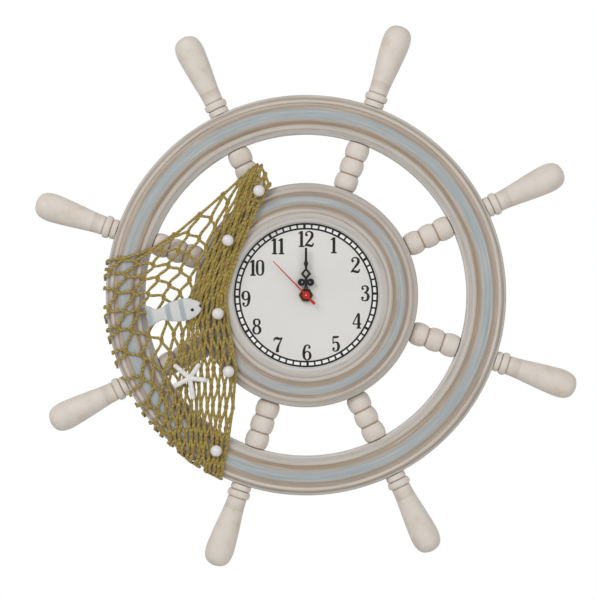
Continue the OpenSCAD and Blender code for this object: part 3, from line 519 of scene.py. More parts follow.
@dataclass(frozen=True)
class Twine(Finish):
    """Two-ply twisted twine, dyed olive and rust brown where the knots soaked up dye.
    Lengths are in millimetres."""

    # Painted shade in the ply's crevices, and a painted highlight on its crests
    shadow: str = "#6A5620"
    light: str = "#B8A458"
    rust: str = "#8C6534"
    pitch: float = 4.2
    fibre: float = 0.9
    patch: float = 15
    relief: float = 0.085
    sheen: float = 0.25

    def dress(self, tree: Tree) -> Inputs:
        """The plies are a sine of the length over the pitch plus two turns around, and their
        colour goes from painted shade in the crevices to a painted highlight on the crests. Fibres
        are fine noise, patches change the dye, and the tone brings the rust.

        Args:
            tree: The material's tree.

        Returns:
            What the shader is fed.
        """
        uv = add(tree, "UVMap", uv_map="UVMap")
        parts = add(tree, "SeparateXYZ", {0: uv}).outputs
        along = add(tree, "Math", {0: parts["X"], 1: 2 * math.pi / self.pitch},
                    operation="MULTIPLY")
        phase = add(tree, "Math", {0: parts["Y"], 1: 4 * math.pi, 2: along},
                    operation="MULTIPLY_ADD")
        ply = add(tree, "Math", {0: phase}, operation="SINE")
        place = add(tree, "TexCoord").outputs["Object"]
        fibre, dye = (
            add(tree, "TexNoise", {"Vector": place, "Scale": 1 / (size * MM), "Detail": 3.0})
            for size in (self.fibre, self.patch)
        )
        level = add(tree, "Math", {0: ply, 1: self.relief, 2: fibre}, operation="MULTIPLY_ADD")
        # Ply colour from painted shade to painted highlight
        body = add(tree, "ValToRGB", {0: level},
                   ((0.30, self.shadow), (0.48, self.colour), (0.70, self.light)))
        tone = add(tree, "Attribute", attribute_name="tone").outputs["Fac"]
        soaked = add(tree, "Math", {0: tone, 1: dye}, operation="MULTIPLY")
        reach = add(tree, "MapRange", {
            "Value": soaked, "From Min": 0.35, "From Max": 0.8, "To Max": 0.6})
        dyed = add(tree, "Mix", {0: reach, 6: body, 7: self.rust}, data_type="RGBA")
        bump = add(tree, "Bump", {"Height": level, "Strength": 0.8, "Distance": 0.3 * MM})
        return {"Base Color": dyed.outputs[2], "Normal": bump, "Sheen Weight": self.sheen}


@dataclass(frozen=True)
class FishPaint(Finish):
    """White wash paint on a cut-out board, with blue-grey stripes brushed across it. The
    edges are shares of the length, and striped says at which of them the stripe's colour is.
    The brush is in millimetres."""

    stripe: str = "#9FAAAF"
    thin: str = "#DDDFDC"
    # Painted shade for the sawn edge, in pale brown
    bare: str = "#A9A39A"
    brush: float = 3
    slant: float = -0.03
    fray: float = 0.035
    edges: tuple[float, ...] = (
        0.0, 0.03, 0.07, 0.315, 0.33, 0.405, 0.42, 0.56, 0.575, 0.655, 0.67, 0.86, 0.94,
    )
    striped: tuple[int, ...] = (1, 1, 0, 0, 1, 1, 0, 0, 1, 1, 0, 0, 1)

    def dress(self, tree: Tree) -> Inputs:
        """Stripes by the length share, slanted by the width and with a brushed edge.

        Args:
            tree: The material's tree.

        Returns:
            What the shader is fed.
        """
        uv = add(tree, "UVMap", uv_map="UVMap")
        parts = add(tree, "SeparateXYZ", {0: uv}).outputs
        place = add(tree, "TexCoord").outputs["Object"]
        brush = add(tree, "TexNoise", {
            "Vector": place, "Scale": 1 / (self.brush * MM), "Detail": 4.0, "Roughness": 0.6})
        slant = add(tree, "Math", {0: parts["Y"], 1: self.slant, 2: parts["X"]},
                    operation="MULTIPLY_ADD")
        share = add(tree, "Math", {0: brush, 1: self.fray, 2: slant}, operation="MULTIPLY_ADD")
        codes = [self.stripe if on else self.colour for on in self.striped]
        paint = add(tree, "ValToRGB", {0: share}, tuple(zip(self.edges, codes)))
        rubbed = add(tree, "MapRange", {
            "Value": brush, "From Min": 0.55, "From Max": 0.8, "To Max": 0.45})
        worn = add(tree, "Mix", {0: rubbed, 6: paint, 7: self.thin}, data_type="RGBA")
        # The tone puts painted shade on the sawn edge
        tone = add(tree, "Attribute", attribute_name="tone").outputs["Fac"]
        edge = add(tree, "MapRange", {"Value": tone, "To Max": 0.7})
        whole = add(tree, "Mix", {0: edge, 6: worn.outputs[2], 7: self.bare}, data_type="RGBA")
        bump = add(tree, "Bump", {"Height": brush, "Strength": 0.3, "Distance": 0.2 * MM})
        return {"Base Color": whole.outputs[2], "Normal": bump}


@dataclass(frozen=True)
class Winding(Finish):
    """Fine enamelled wire wound side by side along z, drawn 0.25 mm thick because the real
    wire is too fine to show."""

    # Painted shade in the gaps between turns
    gap: str = "#5E2C12"
    wire: float = 0.25

    def dress(self, tree: Tree) -> Inputs:
        """Each turn is one period of a sine of z over the wire's thickness, which darkens the gaps
        between turns with painted shade.

        Args:
            tree: The material's tree.

        Returns:
            What the shader is fed.
        """
        place = add(tree, "TexCoord").outputs["Object"]
        z = add(tree, "SeparateXYZ", {0: place}).outputs["Z"]
        turns = add(tree, "Math", {0: z, 1: 2 * math.pi / (self.wire * MM)}, operation="MULTIPLY")
        wave = add(tree, "Math", {0: turns}, operation="SINE")
        level = add(tree, "MapRange", {"Value": wave, "From Min": -1.0, "From Max": 1.0})
        colour = add(tree, "Mix", {0: level, 6: self.gap, 7: self.colour}, data_type="RGBA")
        bump = add(tree, "Bump", {"Height": level, "Strength": 0.8, "Distance": 0.1 * MM})
        return {"Base Color": colour.outputs[2], "Normal": bump}


# Beech or pine rings under chalky wash paint: no shine, soft streaks along the turning
RIM_PAINT = RingPaint(
    "Wash painted rim wood", "#B4AFA8", 0.7,
    # Besides paint and worn tan, these stops hold painted light on the inner wall (142.5, 144.2)
    # and on the outer edge (177.0), and painted shade on the inner chamfer (145.0) and in the
    # outer groove (174.0)
    rings=(
        (142.5, "#DCD7D1"), (144.2, "#D2CCC6"), (145.0, "#B5AFA9"), (146.6, "#BAB5AF"),
        (149.8, "#BDB7AF"), (151.6, "#B1A597"), (152.8, "#9D8A76"), (154.6, "#A08D79"),
        (156.0, "#A9A39B"), (158.4, "#A2A7A8"), (161.6, "#9FAAAE"), (165.2, "#A3A6A6"),
        (166.6, "#978A7B"), (168.4, "#AB9A88"), (170.0, "#BEB3A8"), (172.4, "#CBC2B8"),
        (174.0, "#A3978A"), (175.4, "#B0A69B"), (177.0, "#C6C0BA"), (178.4, "#BFB9B3"),
    ),
)
HUB_PAINT = RingPaint(
    "Wash painted hub wood", "#B4AFA8", 0.7,
    # Besides paint and worn tan, these stops hold painted light at the bezel's edge (64.0, 66.0),
    # and painted shade in the line at 73.2 and on the outer step (95.8)
    rings=(
        (64.0, "#CCC8C5"), (66.0, "#C9C5C2"), (69.0, "#B9B4AE"), (71.4, "#BCB5AD"),
        (73.2, "#B2ABA4"), (75.2, "#C3BCB5"), (77.2, "#B0A295"), (79.4, "#9B8873"),
        (81.2, "#A29D97"), (84.2, "#A2A9AC"), (87.0, "#A2A7A8"), (88.4, "#998D80"),
        (90.0, "#99897A"), (91.8, "#B9AEA2"), (94.0, "#B9B0A7"), (95.8, "#B1A9A1"),
        (97.6, "#B6B0A9"), (99.8, "#C0BAB4"),
    ),
)
# Turned beech under a thin white wash, matt and slightly chalky
HANDLE_WASH = Whitewash("White washed turned wood", "#D5CCC2", 0.62)
# Wooden ball dipped in white gloss paint: soft highlight, almost no texture
BEAD_PAINT = Grained(
    "White gloss painted ball", "#E4E2E2", 0.32, second="#DAD7D5", patch=5, grain=1.2,
    depth=0.04, coat=0.2,
)
# Cast polyester resin with a sandy skin, white and slightly glossy on its bumps
STAR_RESIN = Grained(
    "Cast resin starfish", "#E6E4E1", 0.5, second="#D2CEC8", patch=4, grain=1.1, depth=0.5
)
# Thin plywood under white wash paint: matt and chalky, with painted shade in pale brown at the
# sawn edge
FISH_PAINT = FishPaint("Painted fish board", "#CBCCCA", 0.6)
# Sisal-like twine of two and a half millimetres, dry and fibrous
NET_TWINE = Twine("Twisted net twine", "#968038", 0.9)
# Smooth printed card, satin
DIAL_CARD = Grained(
    "Printed dial card", "#DAD9D6", 0.45, second="#D6D5D2", patch=40, grain=0.5, depth=0.01
)
# The ground of the minute track, a brighter white than the card around it
TRACK_WHITE = Grained(
    "Bare white card of the track", "#F4F4F2", 0.45, second="#EEEEEC", patch=10, grain=0.5,
    depth=0.01,
)
# Offset ink, a little shinier than the card under it
DIAL_INK = Grained(
    "Black printing ink", "#050506", 0.4, second="#0A0A0B", patch=6, grain=0.4, depth=0.01
)
# Stamped steel under satin black enamel
BLACK_ENAMEL = Grained(
    "Satin black enamelled steel", "#060607", 0.38, second="#0B0B0B", patch=6, grain=0.5,
    depth=0.01,
)
# The same sheet under red enamel: one deep colour, satin
RED_ENAMEL = Grained(
    "Red enamelled steel", "#BC170C", 0.38, second="#AE130A", patch=6, grain=0.5, depth=0.01,
)
# Turned brass gone olive brown with tarnish
BRASS = Grained(
    "Tarnished brass", "#5F512E", 0.42, 1.0, second="#4C4026", patch=3, grain=0.4, depth=0.03
)
# Brass washer under a coat of white lacquer, so that it disappears on the dial
LACQUER = Grained(
    "White lacquered brass washer", "#DCDAD6", 0.4, second="#D5D3CE", patch=4, grain=0.5,
    depth=0.01, coat=0.2,
)
# Sheet and wire with a thin zinc coat: pale grey with a blurred shine
STEEL = Grained(
    "Zinc plated steel", "#B4B6B8", 0.34, 1.0, second="#A2A4A8", patch=3, grain=0.3,
    depth=0.02,
)
# Pressed and sintered powder: dark and dull, faintly metallic
FERRITE = Grained(
    "Sintered ferrite", "#2C2C2E", 0.6, 0.3, second="#232325", patch=2, grain=0.2, depth=0.03
)
# ABS straight from an eroded mould: fine even texture
CASE_PLASTIC = Grained(
    "Moulded black ABS", "#17181A", 0.55, second="#1C1D1F", patch=15, grain=0.35, depth=0.04
)
# Acetal from a polished mould: milky white and waxy
GEAR_PLASTIC = Grained(
    "Moulded white acetal", "#DEDDD8", 0.4, second="#D6D4CE", patch=6, grain=0.5, depth=0.02
)
# Moulded rubber: dull, with no clear highlight
RUBBER = Grained(
    "Black rubber", "#1B1B1C", 0.85, second="#232324", patch=5, grain=0.4, depth=0.05
)
# Pressed wood fibre, sawn and left bare: matt, mottled brown
FIBREBOARD = Grained(
    "Bare fibreboard", "#A5845C", 0.8, second="#8E6F4B", patch=1.4, grain=0.5, depth=0.12
)
# Solder lacquer over laminate: deep green with a wet shine
CIRCUIT = Grained(
    "Green circuit board lacquer", "#1C4A2A", 0.3, second="#245834", patch=2, grain=0.4,
    depth=0.02, coat=0.3,
)
# Printed film shrunk over a steel can: brassy and glossy
CELL_SLEEVE = Grained(
    "Printed cell sleeve", "#B08A3C", 0.35, 0.6, second="#A6823A", patch=9, grain=0.5,
    depth=0.01, coat=0.3,
)
# Copper wire in rows: warm ridges, with painted shade in the gaps between them
COIL_WIRE = Winding("Enamelled copper winding", "#B4622C", 0.35, 1.0)
# Trowelled plaster: even and matt
FLOOR_PAINT = Grained(
    "Pale plaster floor", "#ECECEA", 0.9, second="#E8E8E6", patch=600, grain=6, depth=0.1
)


def dress_nodes(finish: Finish, *nodes: str) -> None:
    """Gives CAD nodes that keep their shape a finish.

    Args:
        finish: The finish.
        *nodes: The nodes' names.
    """
    for name in nodes:
        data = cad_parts[name].data
        data.materials.clear()
        data.materials.append(finish.material())
        LOG.info("%s: CAD shape, %s", name, finish.name)


# Sub-assemblies


@dataclass
class Wheel:
    """The turned rim, hub, spokes and handles, in millimetres."""

    rim_r: float = 178.0
    rim_w: float = 34.5
    rim_t: float = 24.0
    hub_r: float = 99.5
    hub_t: float = 33.0
    dial_r: float = 64.5
    ledge_w: float = 10.5
    dial_drop: float = 8.0
    first_spoke: float = 18.7
    spoke_h: float = 14.0
    spoke_d: float = 21.0
    spoke_neck: float = 8.5
    bead_gap: float = 0.4
    handle_d: float = 25.2
    handle_l: float = 76.0
    tenon_d: float = 10.0
    tenon_l: float = 11.5
    bore_more: float = 0.5
    bore_past: float = 3.0
    glue_gap: float = 0.1
    spokes: int = 8
    drilled: tuple[float, ...] = (0.9, 0.5, 0.4, 0.0, 0.0, -0.3, 0.3, 0.8)
    hanger: tuple[float, float, float] = (40.0, 16.0, 2.6)
    keyhole: tuple[float, float, float] = (6.0, 7.0, 8.0)
    segments: int = 320
    handle_shape: tuple[tuple[float, float], ...] = (
        (0.000, 0.70), (0.052, 0.72), (0.068, 0.64), (0.080, 0.76), (0.112, 0.81),
        (0.142, 0.78), (0.158, 0.66), (0.178, 0.68), (0.240, 0.69), (0.320, 0.73),
        (0.450, 0.82), (0.580, 0.905), (0.700, 0.97), (0.790, 1.00), (0.860, 0.97),
        (0.920, 0.87), (0.960, 0.70), (0.985, 0.47), (1.000, 0.14),
    )

    @property
    def rim_in(self) -> float:
        """Radius of the rim's inner wall."""
        return self.rim_r - self.rim_w

    @property
    def rim_front(self) -> float:
        """Height of the rim's front."""
        return self.spoke_h + self.rim_t / 2

    @property
    def tenon(self) -> np.ndarray:
        """Section of a tenon with a small bevel, from its end to its shoulder."""
        r, l = self.tenon_d / 2, self.tenon_l
        return np.array([[0, -l], [r - 0.5, -l], [r, -l + 0.5], [r, 0]])

    def spoke_turn(self, k: int) -> float:
        """Angle of spoke and handle k, clockwise from the top."""
        return self.first_spoke + (k - 1) * 360 / self.spokes + self.drilled[k - 1]

    def ring(self, profile: np.ndarray, wobble: float) -> np.ndarray:
        """Turns a closed section around the arbor: (r sin a, r cos a, z), with the hand
        turned front off by slow waves of a tenth of a millimetre.

        Args:
            profile: Radius and height, as rows.
            wobble: Height of the waves.

        Returns:
            The grid of the ring.
        """
        a, r, z = turn(self.segments)[None, :], profile[:, :1], profile[:, 1:]
        off = wobble * (np.sin(3 * a + 0.4) + 0.6 * np.sin(7 * a + 2 + r / 3))
        front = np.clip((z - 4) / 6, 0, 1)
        return np.stack([r * np.sin(a), r * np.cos(a), z - off * front * 0.5], axis=-1)

    def along_spoke(self, k: int, profile: np.ndarray, turns: int = 64) -> np.ndarray:
        """Turns a section around spoke k's centre line: start + s d + r (cos q e + sin q n),
        with d along the spoke, e across it and n out of the face.

        Args:
            k: Number of the spoke.
            profile: Radius r and distance s from the arbor, as rows.
            turns: Points of each turn.

        Returns:
            The grid of the turned piece.
        """
        a = math.radians(self.spoke_turn(k))
        d = np.array([math.sin(a), math.cos(a), 0])
        e = np.array([math.cos(a), -math.sin(a), 0])
        q = turn(turns)[None, :, None]
        r, s = profile[:, 0, None, None], profile[:, 1, None, None]
        centre = np.array([0, 0, self.spoke_h]) + s * d
        return centre + r * (np.cos(q) * e + np.sin(q) * np.array([0, 0, 1.0]))

    def bores(self, cutter: Sewing, inner: float, outer: float) -> None:
        """Adds round tenon holes along the spokes.

        Args:
            cutter: The piece that gets them.
            inner: Radius of the wheel at which they start.
            outer: Radius at which they end.
        """
        r = self.tenon_d / 2 + self.glue_gap
        for k in range(1, self.spokes + 1):
            cutter.grid(self.along_spoke(k, np.array([[r, inner], [r, outer]]), 24), Ends.CAPPED)

    def build_rim(self) -> None:
        """The rim's section, repeated from the source with rounder mouldings."""
        i, o, f, b = self.rim_in, self.rim_r, self.rim_front, self.spoke_h - self.rim_t / 2
        profile = np.vstack([
            [[i + 1, b], [i + 0.3, b + 0.3], [i, b + 1], [i, f - 5], [i + 0.3, f - 4.2],
             [i + 1.2, f - 3.6], [i + 3, f - 2.8]],
            bulge(i + 4, i + 8.5, f - 2.2, 1),
            [[i + 10, f - 1], [i + 11.5, f - 0.2], [i + 13, f], [o - 17, f + 0.15],
             [o - 11.5, f], [o - 10, f - 0.3], [o - 8.5, f - 1.2]],
            bulge(o - 7.5, o - 3, f - 2.2, 1.6),
            [[o - 2.4, f - 3.2], [o - 1.8, f - 3.1], [o - 1.2, f - 3.2], [o - 0.3, f - 4.4],
             [o, f - 6], [o, b + 1], [o - 0.3, b + 0.3], [o - 1, b]],
        ])
        rim = Sewing("rim_turned").grid(self.ring(profile, 0.12), Ends.RING).place(
            RIM_PAINT, "wheel", "rim_wood", ("rim",), 50)
        holes, deep = Sewing("rim_bores"), self.tenon_l + self.bore_more
        self.bores(holes, i - self.bore_past, i + deep)
        self.bores(holes, o - deep, o + self.bore_past)
        cut_out(rim, holes)

    def build_hub(self) -> None:
        """The hub's section, repeated from the source with rounder mouldings, and the
        hanger's pocket and the tenon holes cut from it."""
        d, o, t = self.dial_r, self.hub_r, self.hub_t
        rebate, floor = d + self.ledge_w, t - self.dial_drop
        profile = np.vstack([
            [[rebate, 0], [rebate, floor], [d, floor], [d, t - 3], [d + 0.2, t - 2.2],
             [d + 0.6, t - 1.6], [d + 1.2, t - 1], [d + 2, t - 0.6]],
            bulge(d + 3, d + 8, t - 0.6, 0.6),
            bulge(d + 8.8, d + 12.4, t - 1.2, 0.5),
            [[d + 13.6, t - 2], [d + 15, t - 1.2], [d + 16.5, t - 1], [d + 20, t - 0.9],
             [d + 23.3, t - 1], [d + 24.8, t - 1.3], [d + 26, t - 2.2]],
            bulge(d + 26.6, d + 30, t - 2.4, 1),
            [[o - 3.6, t - 3.4], [o - 1.6, t - 3.9], [o - 0.8, t - 4.5], [o - 0.3, t - 5.6],
             [o, t - 7.5], [o, 1], [o - 0.3, 0.3], [o - 1, 0]],
        ])
        hub = Sewing("hub_turned").grid(self.ring(profile, 0.05), Ends.RING).place(
            HUB_PAINT, "wheel", "hub_wood", ("hub",), 50)
        cuts = Sewing("hub_cuts")
        self.bores(cuts, o - self.tenon_l - self.bore_more, o + self.bore_past)
        (w, h, deep), y, g = self.hanger, (rebate + o) / 2, self.glue_gap
        for half_w, half_h, z in ((w / 2 + g, h / 2 + g, deep), self.keyhole):
            corner = np.array([[-half_w, y - half_h], [half_w, y - half_h],
                               [half_w, y + half_h], [-half_w, y + half_h]])
            box = np.stack([np.column_stack([corner, np.full(4, level)]) for level in (-2, z)])
            cuts.grid(box, Ends.CAPPED)
        cut_out(hub, cuts)

    def build_turned(self, kind: str, section: np.ndarray, tone: np.ndarray) -> None:
        """Turns one piece of a kind on each spoke's centre line.

        Args:
            kind: First word of the nodes and of the slot.
            section: Radius and distance from the arbor, as rows.
            tone: How deep in a groove each row lies, which the wash darkens with dark wood and
                painted shade.
        """
        for k in range(1, self.spokes + 1):
            piece = Sewing(f"{kind}_{k}_turned")
            piece.grid(self.along_spoke(k, section), tone=tone[:, None])
            piece.place(HANDLE_WASH, "wheel", f"{kind}_wood", (f"{kind}_{k}",))

    def build_handles(self) -> None:
        """Eight handles: the shares of the source joined by a smooth curve. Near the rim the tone
        is 1 where the radius is 0.6 mm below its average over 19 rows, which puts dark wood and
        painted shade into the grooves by the rim."""
        shape = smooth_chain(np.array(self.handle_shape), 8)
        body = np.column_stack([shape[:, 1] * self.handle_d / 2, shape[:, 0] * self.handle_l])
        around = np.convolve(np.pad(body[:, 0], 9, mode="edge"), np.ones(19) / 19, "valid")
        tone = np.clip((around - body[:, 0]) / 0.6, 0, 1)
        tone[body[:, 1] > 0.3 * self.handle_l] = 0
        section = np.vstack([self.tenon, body, [[0, self.handle_l]]])
        section[:, 1] += self.rim_r + self.glue_gap
        self.build_turned("handle", section, np.concatenate([np.ones(4), tone, [0]]))

    def build_spokes(self) -> None:
        """Eight spokes: each bead's half width is neck + (full - neck) (1 - u^2.4)^0.8."""
        length = self.rim_in - self.hub_r - self.glue_gap - self.bead_gap
        u = np.linspace(-1, 1, 25)
        u = np.sign(u) * np.abs(u) ** 0.8
        swell = self.spoke_d / 2 - self.spoke_neck
        wide = self.spoke_neck + swell * (1 - np.abs(u) ** 2.4) ** 0.8
        beads = [np.column_stack([wide, length / 3 * (b + 0.5 + 0.48 * u)]) for b in range(3)]
        far = self.tenon[::-1] * [1, -1] + [0, length]
        section = np.vstack([self.tenon, *beads, far])
        section[:, 1] += self.hub_r + self.glue_gap
        # Tone 1 at the tenons and towards the necks between beads: dark wood and painted shade
        # there
        groove = np.clip((np.abs(u) - 0.90) / 0.1, 0, 1)
        tone = np.concatenate([np.ones(4), groove, groove, groove, np.ones(4)])
        self.build_turned("spoke", section, tone)

    def build(self) -> None:
        """Makes all the turned wood."""
        self.build_rim()
        self.build_hub()
        self.build_handles()
        self.build_spokes()


@dataclass
class Dial:
    """The printed dial: minute track and numbers, as ink 0.05 mm thick on the card. Places
    are a radius and an angle. Each digit has a width, pen strokes of (x, y, width) and balls
    of (x, y, radius), in hundredths of its height."""

    surface: float = 25.0
    sunk: float = 0.02
    ink: float = 0.05
    track: tuple[float, float, float, float] = (58.2, 59.8, 62.4, 64.0)
    hour_bar: float = 1.1
    minute_bar: float = 0.75
    track_turn: float = -1.3
    number_h: float = 13.8
    pen: float = 0.5
    letter_gap: float = 2
    stroke_step: float = 0.002
    ball_step: float = 0.008
    cell_ink: float = 0.02
    cell_past: float = 0.2
    bar_past: float = 0.1
    bar_lower: float = 0.005
    places: tuple[tuple[float, float], ...] = (
        (50.6, 28.8), (51.4, 58.6), (52.6, 88.2), (50.6, 116.5), (50.6, 148.3), (50.9, 179.1),
        (50.6, 209.4), (51.7, 237.5), (53.3, 266.6), (50.1, 299.1), (50.2, 329.9), (49.9, 359.9),
    )
    digits: dict[str, tuple] = field(default_factory=lambda: {
        "0": (51, [[(25.5, 98, 4), (42, 86, 10), (44.5, 50, 14), (42, 14, 10), (25.5, 2, 4),
             (9, 14, 10), (6.5, 50, 14), (9, 86, 10), (25.5, 98, 4)]], []),
        "1": (42, [[(24, 0, 15), (24, 50, 15), (24, 100, 15)], [(6, 2, 4.5), (24, 2, 6),
             (42, 2, 4.5)], [(4, 84, 3), (14, 90, 6), (24, 98.5, 5)]], []),
        "2": (60, [[(6, 76, 4), (11, 90, 5), (28, 98, 4.5), (45, 90, 10), (49, 75, 14.5),
             (43, 57, 13), (24, 33, 8), (8, 13, 5), (3, 2, 4)], [(2, 5, 5), (15, 11, 11),
             (32, 7, 13), (48, 6, 10), (57, 24, 3)]], [(12, 75, 8.5)]),
        "3": (57, [[(6, 80, 3.5), (11, 93, 4.5), (26, 98, 4), (41, 91, 10), (44, 77, 13.5),
             (38, 62, 9), (22, 54, 3.5)], [(22, 54, 3.5), (41, 47, 9), (48, 28, 15), (41, 8, 10),
             (24, 2, 4), (10, 7, 4.5), (5, 20, 4)]], [(12, 79, 8), (11, 21, 8.5)]),
        "4": (57, [[(37, 98.5, 4.5), (19, 64, 4), (2, 30, 4)], [(0, 28, 5), (28, 28, 5),
             (57, 28, 5)], [(39, 0, 14), (39, 50, 14), (39, 97, 12)], [(24, 2, 4), (39, 2, 5),
             (55, 2, 4)]], []),
        "5": (52, [[(8, 93, 10), (26, 92, 12), (45, 96, 6)], [(8, 97, 4.5), (7, 75, 4),
             (7, 50, 4)], [(7, 52, 3.5), (20, 60, 5), (36, 55, 10), (43, 33, 15), (37, 10, 10),
             (22, 2, 4), (9, 7, 4.5), (5, 18, 4)]], [(11, 19, 8)]),
        "6": (57, [[(50, 82, 3.5), (44, 94, 4.5), (31, 98, 4.5), (16, 86, 10), (8.5, 50, 15),
             (12, 16, 11), (29, 2, 4), (46, 12, 10), (50, 31, 14.5), (45, 49, 9), (32, 57, 4.5),
             (20, 52, 4.5), (13, 42, 4)]], [(44, 82, 8)]),
        "7": (59, [[(4, 74, 3), (6, 88, 6), (20, 92.5, 14), (38, 89, 12), (50, 92, 6),
             (57, 99, 3)], [(56, 96, 4), (42, 66, 6), (30, 38, 11), (26, 16, 16), (26, 2, 16)]],
             []),
        "8": (58, [[(29, 98, 4), (43, 91, 8), (46.5, 77, 11), (42, 63, 7), (29, 55, 5),
             (14, 63, 10), (10.5, 77, 12), (14, 91, 8), (29, 98, 4)], [(29, 55, 5), (44, 45, 11),
             (50, 27, 14), (44, 9, 9), (29, 2, 4), (12, 9, 9), (7, 26, 12), (13, 45, 8),
             (29, 55, 5)]], []),
    })

    def raised(self, left: np.ndarray, right: np.ndarray, top: float) -> np.ndarray:
        """A ribbon between two lines, from just under the card's surface to top."""
        return ribbon(left, right, self.surface - self.sunk, top)

    def circle(self, piece: Sewing, r0: float, r1: float, top: float) -> None:
        """Adds a full ring between two radii."""
        a = np.degrees(turn(240))
        piece.grid(self.raised(clock_point(r0, a), clock_point(r1, a), top), Ends.RING)

    def bars(self, piece: Sewing, r0: float, r1: float, top: float) -> None:
        """Adds the minute bars between two radii, every fifth one broader.

        Args:
            piece: The piece that gets them.
            r0: Inner radius.
            r1: Outer radius.
            top: Height of the ink.
        """
        for minute in range(60):
            half = self.minute_bar if minute % 5 else self.hour_bar
            line = clock_point(np.array([r0, r1]), np.full(2, 6 * minute + self.track_turn))
            side = half * unit(np.array([[line[0, 1], -line[0, 0]]]))
            piece.grid(self.raised(line - side, line + side, top), Ends.CAPPED)

    def stroke(self, piece: Sewing, points: np.ndarray, top: float) -> None:
        """Draws a pen stroke: a smooth curve with half its width laid off on either side.

        Args:
            piece: The piece that gets it.
            points: Place and width, as rows.
            top: Height of the ink.
        """
        curve = smooth_chain(points, 8)
        way = unit(np.gradient(curve[:, :2], axis=0))
        side = np.column_stack([way[:, 1], -way[:, 0]]) * curve[:, 2:] / 2
        piece.grid(self.raised(curve[:, :2] - side, curve[:, :2] + side, top), Ends.CAPPED)

    def number(self, piece: Sewing, text: str, centre: np.ndarray) -> None:
        """Draws an upright number around a place on the face. A nine is a six turned over.

        Args:
            piece: The piece that gets it.
            text: The number.
            centre: Its middle.
        """
        shapes = [self.digits["6" if c == "9" else c] for c in text]
        x = -(sum(shape[0] for shape in shapes) + self.letter_gap * (len(text) - 1)) / 2
        scale, top = self.number_h / 100, self.surface + self.ink
        for c, (width, strokes, balls) in zip(text, shapes):
            over = c == "9"
            start, sign = np.array([x + width * over, 100 * over - 50]), 1 - 2 * over
            for n, line in enumerate(strokes):
                p = np.array(line, float)
                place = (start + sign * p[:, :2]) * scale + centre
                pen = np.column_stack([place, p[:, 2] * scale + self.pen])
                self.stroke(piece, pen, top + self.stroke_step * n)
            for bx, by, br in balls:
                middle = (start + sign * np.array([bx, by])) * scale + centre
                edge = middle + clock_point(br * scale, np.degrees(turn(24)))
                disc = self.raised(edge, middle + 0 * edge, top + self.ball_step)
                piece.grid(disc, Ends.RING)
            x += width + self.letter_gap

    def build(self) -> None:
        """Makes the bright ring of the track, which reaches a little under its black lines,
        the lines with the bars between them, and the numbers."""
        dress_nodes(DIAL_CARD, "dial_print")
        (r0, r1, r2, r3), top = self.track, self.surface + self.ink
        cells = Sewing("dial_track_cells")
        self.circle(cells, r1 - self.cell_past, r2 + self.cell_past, self.surface + self.cell_ink)
        cells.place(TRACK_WHITE, "wheel", "dial_paper", sharp=20)
        lines = Sewing("dial_track_lines")
        self.circle(lines, r0, r1, top)
        self.circle(lines, r2, r3, top)
        self.bars(lines, r1 - self.bar_past, r2 + self.bar_past, top - self.bar_lower)
        lines.place(DIAL_INK, "wheel", "dial_paper", sharp=20)
        numbers = Sewing("dial_numbers")
        for hour, (radius, degrees) in enumerate(self.places, 1):
            self.number(numbers, str(hour), clock_point(radius, degrees))
        numbers.place(DIAL_INK, "wheel", "dial_paper", sharp=20)


@dataclass
class Hands:
    """Both black hands: a pierced boss, a loop, two scrolls, a lozenge and a blade, stamped
    with broader bands than the source has, as in the photo. Each one's sizes are its length,
    the half widths of boss, scroll, lozenge and blade, and its bore. The loop has a height
    above the arbor and two radii, and the lozenge five heights."""

    hour: tuple[float, ...] = (31.3, 3.8, 3.3, 4.7, 1.3, 2.47)
    minute: tuple[float, ...] = (41.9, 3.6, 2.7, 4.4, 1.2, 1.62)
    loop: tuple[float, float, float] = (6.4, 0.6, 1.9)
    scroll_y: float = 11.4
    scroll_off: float = 0.7
    scroll_band: float = 1.9
    lozenge: tuple[float, ...] = (13.4, 16.4, 18.9, 21.6, 24.6)
    lozenge_band: float = 2.2
    neck: tuple[tuple[float, float], ...] = ((1.1, 7.6), (1.4, 14.6))
    stem: tuple[tuple[float, float], ...] = ((1.0, 23.2), (1.2, 25.5), (2.1, 27.8), (1.4, 29.6))
    blade_y: float = 30.6
    taper: float = 0.85
    step: float = 0.003

    def build_hand(self, node: str, body: str, sizes: tuple[float, ...]) -> None:
        """Lays a hand's parts over each other, each 3 micrometres lower than the last.

        Args:
            node: The CAD node that it stands for.
            body: The body that it rides on.
            sizes: Its sizes.
        """
        length, boss, scroll, wide, blade, bore = sizes
        low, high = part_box(node)
        back, front = -high.y / MM, -low.y / MM
        x, y = scroll + self.scroll_off, self.scroll_y
        rings = [((0, 0), bore, boss), ((0, self.loop[0]), *self.loop[1:])]
        rings += [((side, y), scroll - self.scroll_band, scroll) for side in (-x, x)]
        circle = clock_point(1.0, np.degrees(turn(48)))
        parts = [(circle * a + at, circle * b + at, Ends.RING) for at, a, b in rings]
        foot, inner_foot, middle, inner_tip, tip = self.lozenge
        hole = wide - self.lozenge_band
        parts.append((
            np.array([[0, inner_foot], [hole, middle], [0, inner_tip], [-hole, middle]]),
            np.array([[0, foot], [wide, middle], [0, tip], [-wide, middle]]), Ends.RING,
        ))
        point = (*self.stem, (blade, self.blade_y), (blade * self.taper, length))
        for edge in (np.array(self.neck), np.array(point)):
            parts.append((edge * [-1, 1], edge, Ends.CAPPED))
        piece = Sewing(node + "_stamped")
        for n, (left, right, ends) in enumerate(parts):
            lower = self.step * n
            piece.grid(ribbon(left, right, back + lower, front - lower), ends)
        piece.place(BLACK_ENAMEL, body, "hand_black", (node,), 30)

    def build(self) -> None:
        """Makes both."""
        self.build_hand("hour_hand", "hour", self.hour)
        self.build_hand("minute_hand", "minute", self.minute)


